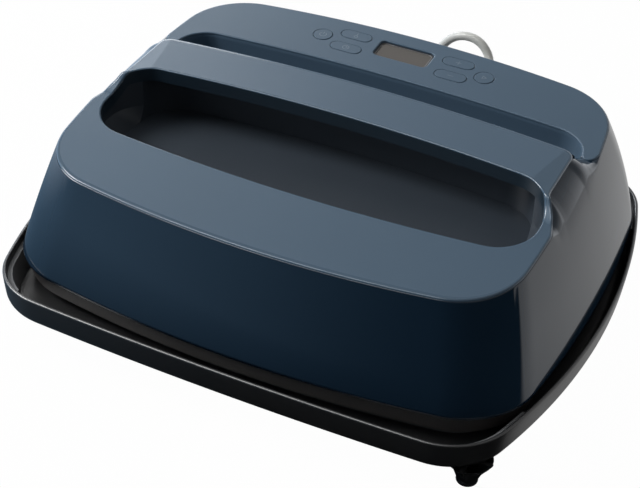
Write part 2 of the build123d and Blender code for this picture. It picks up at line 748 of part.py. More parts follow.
def heat_guard():
    low_h = GUARD_CLEARANCE - HOUSING_LIFT
    low_z = EDGE_Z + low_h

    def ring(inset, z):
        return bowed_outline(
            HALF_LENGTH - inset, FRONT_EDGE + inset, BACK_EDGE - inset, HOUSING_SIDE_RADIUS,
            HOUSING_END_RADIUS, HOUSING_END_RADIUS, HOUSING_CORNER - inset, z,
        )

    outer = Solid.make_loft([ring(GUARD_REVEAL + GUARD_TAPER, low_z), ring(GUARD_REVEAL, EDGE_Z)])
    inner = Solid.make_loft([
        ring(GUARD_REVEAL + GUARD_TAPER + GUARD_WALL, low_z),
        ring(GUARD_REVEAL + GUARD_WALL, EDGE_Z),
    ])
    guard = outer - inner
    flange = prism(ring(HOUSING_WALL + 1.3, EDGE_Z), FLANGE_THICKNESS)
    ledge = prism(ring(GUARD_REVEAL + GUARD_WALL / 2, LEDGE_Z), LEDGE_THICKNESS)
    opening = plate_slab(1.5, LEDGE_Z - 1, FLANGE_THICKNESS + LEDGE_THICKNESS + 2)
    guard = guard + (flange + ledge - opening)
    for x, y in boss_places():
        guard = guard - post(x, y, LEDGE_Z - 1, FLANGE_TOP_Z + 1, SCREW_RADIUS + SCREW_CLEARANCE)
    for x, y in ear_places():
        guard = guard + post(x, y, EDGE_Z, SHIELD_Z, EAR_RADIUS)
        guard = guard - post(x, y, EDGE_Z + 0.8, SHIELD_Z + 1, SCREW_RADIUS)
    return guard


def housing_screws():
    solids = []
    for x, y in boss_places():
        shank = post(x, y, LEDGE_Z, FLANGE_TOP_Z + 11, SCREW_RADIUS - 0.05)
        head = post(x, y, LEDGE_Z - HEAD_HEIGHT, LEDGE_Z, HEAD_RADIUS)
        solids.append((shank + head).solid())
    return Compound(children=solids)


# Heating stack

def heat_plate():
    plate = plate_slab(0.0, PLATE_Z, PLATE_THICKNESS)
    plate = chamfer(plate.edges().group_by(Axis.Z)[0], 0.8)
    plate = plate - element_tube(ELEMENT_RADIUS + 0.1)
    for x, y in terminal_places():
        plate = plate - Pos(x, y, PLATE_TOP_Z) * Sphere(ELEMENT_RADIUS + 0.1)
    for x, y in standoff_places():
        plate = plate - post(x, y, PLATE_TOP_Z - 5, PLATE_TOP_Z + 1, SCREW_RADIUS)
    return plate


def element_path():
    z = PLATE_TOP_Z
    wide = PLATE_LENGTH / 2 - ELEMENT_EDGE_GAP
    deep = PLATE_WIDTH / 2 - ELEMENT_EDGE_GAP
    inner_wide = PLATE_LENGTH / 4
    inner_deep = PLATE_WIDTH / 4 - 5
    gap = TERMINAL_X
    return FilletPolyline(
        (-gap, deep, z), (-wide, deep, z), (-wide, -deep, z), (wide, -deep, z), (wide, deep, z),
        (gap, deep, z), (gap, inner_deep, z), (inner_wide, inner_deep, z), (inner_wide, -inner_deep, z),
        (-inner_wide, -inner_deep, z), (-inner_wide, inner_deep, z), (-gap, inner_deep, z),
        radius=ELEMENT_BEND,
    )


def element_tube(radius):
    path = element_path()
    section = Plane(origin=path @ 0, z_dir=path % 0) * Circle(radius)
    return sweep(section, path=path)


def terminal_places():
    deep = PLATE_WIDTH / 2 - ELEMENT_EDGE_GAP
    inner_deep = PLATE_WIDTH / 4 - 5
    return [(-TERMINAL_X, deep), (-TERMINAL_X, inner_deep)]


def heating_element():
    coil = element_tube(ELEMENT_RADIUS)
    for x, y in terminal_places():
        coil = coil + Pos(x, y, PLATE_TOP_Z) * Sphere(ELEMENT_RADIUS)
        coil = coil + post(x, y, PLATE_TOP_Z, SHIELD_TOP_Z + 8, 2.0)
    return coil


def standoff_places():
    x = PLATE_LENGTH / 2 - 48
    y = PLATE_WIDTH / 2 - 45
    return [(-x, -y), (0, -y), (x, -y), (-x, y), (40, y), (x, y)]


def insulation_pad():
    pad = plate_slab(-3.0, SHIELD_Z - PAD_THICKNESS, PAD_THICKNESS)
    for x, y in standoff_places():
        pad = pad - post(x, y, PLATE_TOP_Z, SHIELD_Z + 1, STANDOFF_RADIUS + 0.5)
    for x, y in terminal_places():
        pad = pad - post(x, y, PLATE_TOP_Z, SHIELD_Z + 1, 4.5)
    for x, y in (SENSOR_PLACE, FUSE_PLACE):
        pad = pad - post(x, y, PLATE_TOP_Z, SHIELD_Z + 1, 11.0)
    return pad


def ear_places():
    """Where the heat shield's ears are screwed to the heat guard."""
    places = []
    for y in (-EAR_SPREAD_Y * PLATE_WIDTH, EAR_SPREAD_Y * PLATE_WIDTH):
        x = wall_side(0, y) - EAR_INSET
        places += [(x, y), (-x, y)]
    return places + [(0.0, wall_front(0, 0) + 9.8), (0.0, wall_back(0, 0) - 10.0)]


def heat_shield():
    """Folded steel sheet over the insulation, with ears out to the guard's posts."""
    shield = plate_slab(1.0, SHIELD_Z, SHIELD_THICKNESS)
    lip = plate_slab(1.0, SHIELD_TOP_Z, 5.0) - plate_slab(1.0 - SHIELD_THICKNESS, SHIELD_TOP_Z - 1, 7.0)
    shield = shield + lip
    width = EAR_RADIUS
    for x, y in ear_places():
        inward_x = x - math.copysign(20.0, x) if x else x
        inward_y = y if x else y - math.copysign(20.0, y)
        strip = box(
            min(x, inward_x) - (0 if x else width), max(x, inward_x) + (0 if x else width),
            min(y, inward_y) - (width if x else 0), max(y, inward_y) + (width if x else 0),
            SHIELD_Z, SHIELD_TOP_Z,
        )
        notch = box(x - width - 6, x + width + 6, y - width - 6, y + width + 6, SHIELD_TOP_Z, SHIELD_TOP_Z + 10)
        shield = shield + strip + post(x, y, SHIELD_Z, SHIELD_TOP_Z, width) - notch
        shield = shield - post(x, y, SHIELD_Z - 1, SHIELD_TOP_Z + 1, SCREW_RADIUS + SCREW_CLEARANCE)
    for x, y in standoff_places():
        shield = shield - post(x, y, SHIELD_Z - 1, SHIELD_TOP_Z + 1, SCREW_RADIUS + SCREW_CLEARANCE)
    for x, y in terminal_places():
        shield = shield - post(x, y, SHIELD_Z - 1, SHIELD_TOP_Z + 1, 4.5)
    return shield


def standoffs():
    solids = []
    for x, y in standoff_places():
        tube = post(x, y, PLATE_TOP_Z, SHIELD_Z, STANDOFF_RADIUS)
        bore = post(x, y, PLATE_TOP_Z - 1, SHIELD_Z + 1, SCREW_RADIUS + SCREW_CLEARANCE)
        solids.append((tube - bore).solid())
    return Compound(children=solids)


def screw_down(x, y, seat_z, tip_z):
    shank = post(x, y, tip_z, seat_z, SCREW_RADIUS - 0.05)
    return (shank + post(x, y, seat_z, seat_z + HEAD_HEIGHT, HEAD_RADIUS)).solid()


def plate_screws():
    return Compound(children=[screw_down(x, y, SHIELD_TOP_Z, PLATE_TOP_Z - 4.5) for x, y in standoff_places()])


def shield_screws():
    return Compound(children=[screw_down(x, y, SHIELD_TOP_Z, EDGE_Z + 1.2) for x, y in ear_places()])


SENSOR_PLACE = (0.0, 0.0)
FUSE_PLACE = (48.0, 30.0)


def temperature_sensor():
    x, y = SENSOR_PLACE
    lug = Pos(x, y, PLATE_TOP_Z) * extrude(SlotOverall(18, 7), 1.2)
    bead = Pos(x - 3, y, PLATE_TOP_Z + 1.2) * extrude(SlotOverall(9, 4), 3.0)
    stem = post(x + 5, y, PLATE_TOP_Z + 1.2, SHIELD_Z, 1.6)
    return lug + bead + stem


def thermal_fuse():
    x, y = FUSE_PLACE
    strap = Pos(x, y, PLATE_TOP_Z) * extrude(SlotOverall(18, 9), 1.0)
    body = Pos(x, y, PLATE_TOP_Z + 3.0) * Rot(0, 90, 0) * Cylinder(2.2, 11)
    stem = post(x, y, PLATE_TOP_Z + 3.0, SHIELD_Z, 1.4)
    return strap + body + stem


# Power electronics

POWER_BOARD_BACK_GAP = 8.0
POWER_BOARD_X = -50.0
POWER_BOARD_SIZE = (130.0, 70.0)
POWER_BOARD_CENTRE = (POWER_BOARD_X, PLATE_WIDTH / 2 - POWER_BOARD_BACK_GAP - POWER_BOARD_SIZE[1] / 2)
POWER_BOARD_Z = SHIELD_TOP_Z + POWER_BOARD_POST


def power_post_places():
    cx, cy = POWER_BOARD_CENTRE
    dx = POWER_BOARD_SIZE[0] / 2 - 5
    dy = POWER_BOARD_SIZE[1] / 2 - 5
    return [(cx - dx, cy - dy), (cx + dx, cy - dy), (cx - dx, cy + dy), (cx + dx, cy + dy)]


def board_posts():
    solids = []
    for x, y in power_post_places():
        column = Pos(x, y, SHIELD_TOP_Z) * extrude(RegularPolygon(3.2, 6), POWER_BOARD_POST)
        solids.append((column - post(x, y, POWER_BOARD_Z - 7, POWER_BOARD_Z + 1, 1.5)).solid())
    return Compound(children=solids)


def power_board():
    cx, cy = POWER_BOARD_CENTRE
    board = Pos(cx, cy, POWER_BOARD_Z) * extrude(RectangleRounded(*POWER_BOARD_SIZE, 2), BOARD_THICKNESS)
    for x, y in power_post_places():
        board = board - post(x, y, POWER_BOARD_Z - 1, POWER_BOARD_Z + 3, 1.7)
    return board


def power_board_screws():
    solids = []
    top = POWER_BOARD_Z + BOARD_THICKNESS
    for x, y in power_post_places():
        solids.append((post(x, y, top - 7, top, 1.45) + post(x, y, top, top + 2, 2.8)).solid())
    return Compound(children=solids)


def on_board(x, y, shape):
    return Pos(POWER_BOARD_CENTRE[0] + x, POWER_BOARD_CENTRE[1] + y, POWER_BOARD_Z + BOARD_THICKNESS) * shape


def transformer():
    core = box(-15, 15, -12, 12, 0, 20) - box(-9, -5, -13, 13, 5, 15) - box(5, 9, -13, 13, 5, 15)
    winding = box(-9, 9, -16, 16, 5, 15)
    return on_board(-42, 0, core + winding)


def relay():
    return on_board(-8, 14, fillet(box(-14, 14, -6.5, 6.5, 0, 15).edges().filter_by(Axis.Z), 0.8))


def capacitor():
    can = Cylinder(6.5, 22, align=(Align.CENTER, Align.CENTER, Align.MIN))
    return on_board(-12, -14, fillet(can.edges().group_by(Axis.Z)[-1], 1.0))


def triac_heatsink():
    base = box(-16, 16, -2, 2, 0, 24)
    fins = [box(x - 0.8, x + 0.8, 2, 12, 0, 24) for x in (-14, -7, 0, 7, 14)]
    tab = box(-5, 5, -6, -2, 4, 20)
    return on_board(24, -14, union([base] + fins + [tab]))


def terminal_block():
    block = box(-18, 18, -6, 6, 0, 12)
    for x in (-12, 0, 12):
        block = block - Pos(x, 0, 8) * Cylinder(2.4, 10)
        block = block - box(x - 3, x + 3, 2, 7, 1.5, 5.5)
    return on_board(38, 22, block)


def heater_leads():
    """Two insulated leads from the terminal block to the element's cold pins."""
    solids = []
    start_z = POWER_BOARD_Z + BOARD_THICKNESS + 3.5
    for (x, y), dx in zip(terminal_places(), (-12, 0)):
        from_x = POWER_BOARD_CENTRE[0] + 38 + dx
        from_y = POWER_BOARD_CENTRE[1] + 22 + 6.1
        side_x = POWER_BOARD_CENTRE[0] + POWER_BOARD_SIZE[0] / 2 + 8 + abs(dx) / 2
        low_z = SHIELD_TOP_Z + 10.0
        path = FilletPolyline(
            (from_x, from_y, start_z), (from_x, from_y + 9, start_z), (side_x, from_y + 9, start_z),
            (side_x, from_y + 9, low_z), (side_x, y, low_z), (x + 1.9, y, low_z), radius=3.5,
        )
        section = Plane(origin=path @ 0, z_dir=path % 0) * Circle(1.3)
        lead = sweep(section, path=path)
        sleeve = post(x, y, SHIELD_TOP_Z + 3, SHIELD_TOP_Z + 12, 3.2)
        sleeve = sleeve - post(x, y, SHIELD_TOP_Z, SHIELD_TOP_Z + 8, 2.05)
        solids.append((lead + sleeve).solid())
    return Compound(children=solids)


# Mains cord

def exit_plane():
    """Plane on the rear wall where the cord leaves, with its z along the wall's normal."""
    h = CORD_EXIT_HEIGHT
    tilt = math.atan(BACK_LEAN + 2 * BACK_BULGE * h)
    normal = (math.cos(tilt) * CORD_EXIT_X / HOUSING_END_RADIUS, math.cos(tilt), math.sin(tilt))
    origin = (CORD_EXIT_X, wall_back(h, CORD_EXIT_X), EDGE_Z + h)
    return Plane(origin=origin, x_dir=(-1, CORD_EXIT_X / HOUSING_END_RADIUS, 0), z_dir=normal)


def exit_hole():
    return exit_plane() * Pos(0, 0, -10) * Cylinder(RELIEF_ROOT_RADIUS - 0.6, 24)


def strain_relief():
    """Tapered boot with slots, held in the rear wall between a collar and a nut."""
    plane = exit_plane()
    inner = HOUSING_WALL + 1.6
    boot = Pos(0, 0, 0.2) * Solid.make_cone(RELIEF_ROOT_RADIUS, RELIEF_TIP_RADIUS, RELIEF_LENGTH - 0.2)
    collar = Cylinder(RELIEF_COLLAR_RADIUS, RELIEF_COLLAR, align=(Align.CENTER, Align.CENTER, Align.MIN))
    collar = Pos(0, 0, 0.2) * fillet(collar.edges().group_by(Axis.Z)[-1], 0.8)
    neck = Cylinder(RELIEF_ROOT_RADIUS - 0.8, inner + 6, align=(Align.CENTER, Align.CENTER, Align.MAX))
    body = boot + collar + Pos(0, 0, 1.5) * neck
    for step in range(RELIEF_SLOTS):
        z = 7.5 + step * RELIEF_SLOT_PITCH
        for side in (0, 180):
            slot = Pos(0, 0, z) * Rot(0, 0, side + 90 * (step % 2)) * Pos(5.5, 0, 0) * Box(4, 14, 1.4)
            body = body - slot
    body = body - Pos(0, 0, RELIEF_LENGTH) * Cylinder(CORD_DIAMETER / 2, 2 * (RELIEF_LENGTH + 20))
    return plane * body


def relief_nut():
    nut = extrude(RegularPolygon(9.0, 6), 4.0) - Cylinder(RELIEF_ROOT_RADIUS - 0.7, 20)
    return exit_plane() * Pos(0, 0, -HOUSING_WALL - 4.6) * nut


def cord_points():
    """Route of the free cord, from the boot's tip over the low arch and down to the coil."""
    tip = (exit_plane() * Pos(0, 0, RELIEF_LENGTH)).position
    ahead = (exit_plane() * Pos(0, 0, RELIEF_LENGTH + 16)).position
    cx, cy = COIL_CENTRE
    touch_y = cy - coil_outer_radius()
    return [
        tuple(tip), tuple(ahead), (21.5, 187, 86.8), (3.5, 187.5, 87), (-10, 190, 72), (-15, 190, 48),
        (-20, 186, 24), (-33, touch_y + 3, COIL_Z + 3), (-47, touch_y, COIL_Z),
        (cx + CORD_DIAMETER, touch_y, COIL_Z),
    ]


COIL_Z = CORD_DIAMETER / 2 + COIL_LIFT


def coil_outer_radius():
    return COIL_INNER_RADIUS + COIL_LOWER_HALF_TURNS * COIL_PITCH / 2


def cord_tube(points, radius):
    """Tube along straight runs joined by tangent arcs, as large as the runs allow."""
    vectors = [Vector(*p) for p in points]
    radii = []
    for a, b, c in zip(vectors, vectors[1:], vectors[2:]):
        half = math.radians((b - a).get_angle(c - b)) / 2
        radii.append(0.45 * min((b - a).length, (c - b).length) / math.tan(half))
    path = FilletPolyline(*points, radius=radii)
    section = Plane(origin=path @ 0, z_dir=path % 0) * Circle(radius)
    tube = sweep(section, path=path)
    area = math.pi * radius * radius
    print("cord radii", [round(r, 1) for r in radii], "length", round(path.length, 1))
    print("cord volume over section times length", round(tube.volume / (area * path.length), 4))
    return tube, path.length


def coil_edges():
    """Spiral in on the lower layer, climb in one half turn, and spiral out on the upper layer."""
    cx, cy = COIL_CENTRE
    low, high = COIL_Z, COIL_Z + COIL_PITCH
    step = COIL_PITCH / 2
    reach = coil_outer_radius()
    side = -1
    lower = [reach - k * step for k in range(COIL_LOWER_HALF_TURNS)]
    lower.append(COIL_INNER_RADIUS - COIL_CLIMB_ROOM)
    edges = [Line((cx + CORD_DIAMETER, cy - reach, low), (cx, cy - reach, low))]
    for start, end in zip(lower, lower[1:]):
        edges.append(level_half_turn(cx, cy, side * start, -side * end, low))
        side = -side
    inner = lower[-1]
    run = math.sqrt(inner * inner + (COIL_PITCH / 2) ** 2)
    a = Vector(cx, cy + side * inner, low)
    b = Vector(cx, cy - side * inner, high)
    joint = Vector(cx + side * run, cy, (low + high) / 2)
    edges.append(tangent_arc(a, Vector(side, 0, 0), joint))
    edges.append(tangent_arc(b, Vector(side, 0, 0), joint, backwards=True))
    side = -side
    upper = [inner] + [COIL_INNER_RADIUS + (k + 1) * step for k in range(COIL_UPPER_HALF_TURNS)]
    for start, end in zip(upper, upper[1:]):
        edges.append(level_half_turn(cx, cy, side * start, -side * end, high))
        side = -side
    return edges, Vector(cx, cy + side * upper[-1], high), side


def level_half_turn(cx, cy, start, end, z):
    """Half circle from (cx, cy + start) to (cx, cy + end) that turns clockwise seen from above."""
    radius = abs(start - end) / 2
    side = 1 if start > 0 else -1
    return ThreePointArc((cx, cy + start, z), (cx + side * radius, cy + (start + end) / 2, z), (cx, cy + end, z))


def tangent_arc(start, tangent, end, backwards=False):
    """Arc from start to end that leaves start along tangent."""
    chord = end - start
    normal = tangent.cross(chord).cross(tangent).normalized()
    radius = chord.length ** 2 / (2 * chord.dot(normal))
    centre = start + normal * radius
    middle = (start + end) * 0.5
    toward = (middle - centre).normalized()
    on_arc = centre + toward * radius
    if backwards:
        return ThreePointArc(end, on_arc, start)
    return ThreePointArc(start, on_arc, end)


def cord_coil():
    """The put-away cord as one unbroken tube, and the straight lead to the plug."""
    edges, end, side = coil_edges()
    lead_end = end + Vector(side * PLUG_LEAD, 0, 0)
    edges.append(Line(end, lead_end))
    path = Wire(edges)
    section = Plane(origin=path @ 0, z_dir=path % 0) * Circle(CORD_DIAMETER / 2)
    coil = sweep(section, path=path)
    area = math.pi * CORD_DIAMETER ** 2 / 4
    print("coil volume over section times length", round(coil.volume / (area * path.length), 4))
    print("coil least gap", round(least_gap(edges), 2), "length", round(path.length, 1))
    print("coil ends at", [round(v, 1) for v in lead_end], "heading", side)
    return coil, path.length, lead_end


def least_gap(edges):
    """Least gap of the coiled tube to itself, on points 3 mm apart along its centreline."""
    points = []
    travelled = 0.0
    for edge in edges:
        count = max(2, int(edge.length / 3))
        for k in range(count):
            points.append((travelled + edge.length * k / count, edge @ (k / count)))
        travelled += edge.length
    least = FAR
    for i, (s1, p1) in enumerate(points):
        for s2, p2 in points[i + 1:]:
            if s2 - s1 > 4 * CORD_DIAMETER:
                least = min(least, (p2 - p1).length)
    return least - CORD_DIAMETER


def plug_body(at):
    """Moulded plug lying on the floor, its cord entry at the coil's upper layer."""
    half = PLUG_WIDTH / 2
    low = at.Z
    body = Pos(at.X - PLUG_LENGTH / 2, at.Y, low) * Box(PLUG_LENGTH, PLUG_WIDTH, 2 * low)
    body = fillet(body.edges().filter_by(Axis.X), low * 0.55)
    nose = Solid.make_cone(6.4, CORD_DIAMETER / 2 + 1.2, 10.0)
    nose = Plane(origin=at, z_dir=(1, 0, 0)) * nose
    waist = box(at.X - 12, at.X - 6, at.Y + half - 1.2, at.Y + half + 1, 0, 3 * low)
    body = body - waist - mirror(waist, Plane.XZ.offset(-at.Y))
    bore = Cylinder(CORD_DIAMETER / 2, 40, align=(Align.CENTER, Align.CENTER, Align.MIN))
    return body + (nose - Plane(origin=at, z_dir=(1, 0, 0)) * bore)


def plug_pins(at):
    face_x = at.X - PLUG_LENGTH
    solids = []
    for y in (-6.35, 6.35):
        blade = box(face_x - PIN_LENGTH, face_x, at.Y + y - 0.75, at.Y + y + 0.75, at.Z - 3.2, at.Z + 3.2)
        solids.append(chamfer(blade.faces().sort_by(Axis.X)[0].edges().filter_by(Axis.Z), 0.5).solid())
    return Compound(children=solids)


def cord_tie():
    """Hook-and-loop strap round the bundle, on the side away from the free cord."""
    cx, cy = COIL_CENTRE
    inner = cx - COIL_INNER_RADIUS + COIL_CLIMB_ROOM + CORD_DIAMETER / 2 + 1.8
    outer = cx - coil_outer_radius() - CORD_DIAMETER / 2 - 0.6
    low = TIE_THICKNESS
    high = COIL_Z + COIL_PITCH + CORD_DIAMETER / 2 + 0.25
    half = TIE_WIDTH / 2
    strap = box(outer - TIE_THICKNESS, inner + TIE_THICKNESS, cy - half, cy + half, 0, high + TIE_THICKNESS)
    strap = fillet(strap.edges().filter_by(Axis.Y), 1.6)
    return strap - box(outer, inner, cy - TIE_WIDTH, cy + TIE_WIDTH, low, high)


# Build and write every piece

shell, trough, collar, top_cover, panel = build_shells()
shell = shell - control_opening() - exit_hole()
save("housing", largest(shell))
save("groove_liner", largest(trough))
save("mouth_collar", largest(collar))
save("top_cover", largest(top_cover))
save("control_panel", largest(finish_panel(panel)))
save("handle_well", handle_well())
save("heat_guard", heat_guard())
save("housing_screws", housing_screws())

save("base_tray", base_tray())
save("base_mat", base_mat())
save("corner_guides", corner_guides())
for place, (foot_x, foot_y) in leg_places().items():
    save(f"foot_tip_{place}", foot_tip(foot_x, foot_y))

save("heat_plate", heat_plate())
save("heating_element", heating_element())
save("insulation_pad", insulation_pad())
save("heat_shield", heat_shield())
save("standoffs", standoffs())
save("plate_screws", plate_screws())
save("shield_screws", shield_screws())
save("temperature_sensor", temperature_sensor())
save("thermal_fuse", thermal_fuse())

for node, (kind, button_x, button_y) in BUTTONS.items():
    save(node, button_cap(kind, button_x, button_y))
save("display_lens", lens())
save("lcd_module", lcd_module())
save("control_board", control_board())
save("control_board_screws", board_screws())
save("tact_switches", tact_switches())
save("beeper", beeper())

save("power_board", power_board())
save("power_board_posts", board_posts())
save("power_board_screws", power_board_screws())
save("transformer", transformer())
save("relay", relay())
save("capacitor", capacitor())
save("triac_heatsink", triac_heatsink())
save("terminal_block", terminal_block())
save("heater_leads", heater_leads())

save("strain_relief", strain_relief())
save("relief_nut", relief_nut())
free_cord, free_length = cord_tube(cord_points(), CORD_DIAMETER / 2)
save("power_cord", free_cord)
coil, coil_length, plug_place = cord_coil()
save("cord_coil", coil)
save("plug_body", plug_body(plug_place))
save("plug_pins", plug_pins(plug_place))
save("cord_tie", cord_tie())
print("cord length", round(free_length + coil_length))
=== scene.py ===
import json
import math

import bmesh
import bpy
import numpy as np
from mathutils import Matrix, Vector
from mathutils.geometry import tessellate_polygon


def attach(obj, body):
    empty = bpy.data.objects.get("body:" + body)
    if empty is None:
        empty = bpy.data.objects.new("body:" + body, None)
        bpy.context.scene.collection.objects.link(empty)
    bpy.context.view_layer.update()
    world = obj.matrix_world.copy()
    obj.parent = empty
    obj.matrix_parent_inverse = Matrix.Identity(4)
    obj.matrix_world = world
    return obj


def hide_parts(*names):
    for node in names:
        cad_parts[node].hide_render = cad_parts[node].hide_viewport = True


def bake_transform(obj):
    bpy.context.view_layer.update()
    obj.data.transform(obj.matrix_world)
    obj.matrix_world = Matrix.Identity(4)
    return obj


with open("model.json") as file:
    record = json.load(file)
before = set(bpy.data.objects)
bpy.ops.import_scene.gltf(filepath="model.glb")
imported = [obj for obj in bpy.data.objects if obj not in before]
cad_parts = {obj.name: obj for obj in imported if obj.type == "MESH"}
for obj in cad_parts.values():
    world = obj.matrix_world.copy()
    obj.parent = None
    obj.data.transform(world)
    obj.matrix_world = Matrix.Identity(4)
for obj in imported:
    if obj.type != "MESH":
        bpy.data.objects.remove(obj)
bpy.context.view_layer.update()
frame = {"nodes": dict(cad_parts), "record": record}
NODES = frame["nodes"]
MM = 0.001
QUARTER_TURN, HALF_TURN, FULL_TURN = math.pi / 2, math.pi, 2 * math.pi


def add_object(name, data):
    obj = bpy.data.objects.new(name, data)
    bpy.context.scene.collection.objects.link(obj)
    return obj


# Camera, solved from the tray's rim, the housing's outline and the legs

AZIMUTH, ELEVATION, ROLL = 24.31, 36.34, 2.83
CAMERA_DISTANCE = 0.96039
CAMERA_TARGET = (0.0, -0.0236, 0.03813)
IMAGE_WIDTH, IMAGE_HEIGHT = 640.0, 488.0
FOCAL_PIXELS = 1571.1
OPTICAL_CENTRE = (316.92, 247.62)
SENSOR_WIDTH = 36.0


def make_camera():
    azimuth, elevation, roll = (math.radians(a) for a in (AZIMUTH, ELEVATION, ROLL))
    level = math.cos(elevation)
    back = Vector((math.sin(azimuth) * level, -math.cos(azimuth) * level, math.sin(elevation)))
    right = Vector((math.cos(azimuth), math.sin(azimuth), 0.0))
    up = back.cross(right)
    cam_right = right * math.cos(roll) + up * math.sin(roll)
    cam_up = up * math.cos(roll) - right * math.sin(roll)
    data = bpy.data.cameras.new("camera")
    data.sensor_width = SENSOR_WIDTH
    data.sensor_fit = "HORIZONTAL"
    data.lens = FOCAL_PIXELS * SENSOR_WIDTH / IMAGE_WIDTH
    data.shift_x = (IMAGE_WIDTH / 2 - OPTICAL_CENTRE[0]) / IMAGE_WIDTH
    data.shift_y = (OPTICAL_CENTRE[1] - IMAGE_HEIGHT / 2) / IMAGE_WIDTH
    camera = add_object("camera", data)
    rotation = Matrix((cam_right, cam_up, back)).transposed().to_4x4()
    place = Vector(CAMERA_TARGET) + back * CAMERA_DISTANCE
    camera.matrix_world = Matrix.Translation(place) @ rotation
    bpy.context.scene.camera = camera


make_camera()


# Materials

TONE_SCALE, TONE_DETAIL = 9.0, 3.0
ROUGH_SCALE, ROUGH_DETAIL = 38.0, 4.0
GRAIN_DETAIL, GRAIN_DEPTH = 2.0, 0.0002
METAL_SCALE, METAL_DETAIL, METAL_SPREAD, METAL_BUMP = 240.0, 3.0, 0.08, 0.15
RAMP_ENDS = (0.3, 0.7)


def add_node(tree, kind, **settings):
    """A new node; each setting is one of its attributes or the default of one of its sockets."""
    made = tree.nodes.new(kind)
    for key, value in settings.items():
        if hasattr(made, key):
            setattr(made, key, value)
        else:
            made.inputs[key.replace("_", " ")].default_value = value
    return made


def join(source, target):
    source.id_data.links.new(source, target)


class Shader:
    """Short hand for one material's node tree."""

    def __init__(self, name):
        self.material = bpy.data.materials.new(name)
        self.material.use_nodes = True
        self.tree = self.material.node_tree
        self.bsdf = self.tree.nodes["Principled BSDF"]

    def node(self, kind, **settings):
        return add_node(self.tree, kind, **settings)

    def noise(self, scale, detail, stretch=None):
        """Noise over the object; stretch squeezes it along an axis."""
        source = self.node("ShaderNodeTexCoord").outputs["Object"]
        if stretch:
            mapping = self.node("ShaderNodeMapping", Scale=stretch)
            join(source, mapping.inputs["Vector"])
            source = mapping.outputs["Vector"]
        noise = self.node("ShaderNodeTexNoise", Scale=scale, Detail=detail)
        join(source, noise.inputs["Vector"])
        return noise.outputs["Fac"]

    def tone(self, source, dark, light):
        """Base colour between two tones."""
        ramp = self.node("ShaderNodeValToRGB")
        for element, position, color in zip(ramp.color_ramp.elements, RAMP_ENDS, (dark, light)):
            element.position = position
            element.color = (*color, 1.0)
        join(source, ramp.inputs["Fac"])
        join(ramp.outputs["Color"], self.bsdf.inputs["Base Color"])

    def roughness(self, source, rough, spread):
        span = self.node("ShaderNodeMapRange", To_Min=rough - spread, To_Max=rough + spread)
        join(source, span.inputs["Value"])
        join(span.outputs["Result"], self.bsdf.inputs["Roughness"])

    def bump(self, source, strength):
        made = self.node("ShaderNodeBump", Strength=strength, Distance=GRAIN_DEPTH)
        join(source, made.inputs["Height"])
        join(made.outputs["Normal"], self.bsdf.inputs["Normal"])


def plastic(name, color, rough, spread, grain=None, specular=0.5, drift=0.06):
    """Moulded plastic: slight drift of tone and roughness, and a fine moulded grain."""
    s = Shader(name)
    dark = tuple(c * (1.0 - drift) for c in color)
    light = tuple(min(1.0, c * (1.0 + drift)) for c in color)
    s.tone(s.noise(TONE_SCALE, TONE_DETAIL), dark, light)
    s.roughness(s.noise(ROUGH_SCALE, ROUGH_DETAIL), rough, spread)
    s.bsdf.inputs["Specular IOR Level"].default_value = specular
    if grain:
        scale, strength = grain
        s.bump(s.noise(scale, GRAIN_DETAIL), strength)
    return s.material


def metal(name, color, rough, stretch=(1.0, 1.0, 1.0)):
    """Bare metal: one noise varies its tone, roughness and surface; stretch makes it brushed."""
    s = Shader(name)
    noise = s.noise(METAL_SCALE, METAL_DETAIL, stretch)
    s.roughness(noise, rough, METAL_SPREAD)
    s.tone(noise, tuple(c * 0.9 for c in color), color)
    s.bsdf.inputs["Metallic"].default_value = 1.0
    s.bump(noise, METAL_BUMP)
    return s.material


SLATE = (0.063, 0.104, 0.150)

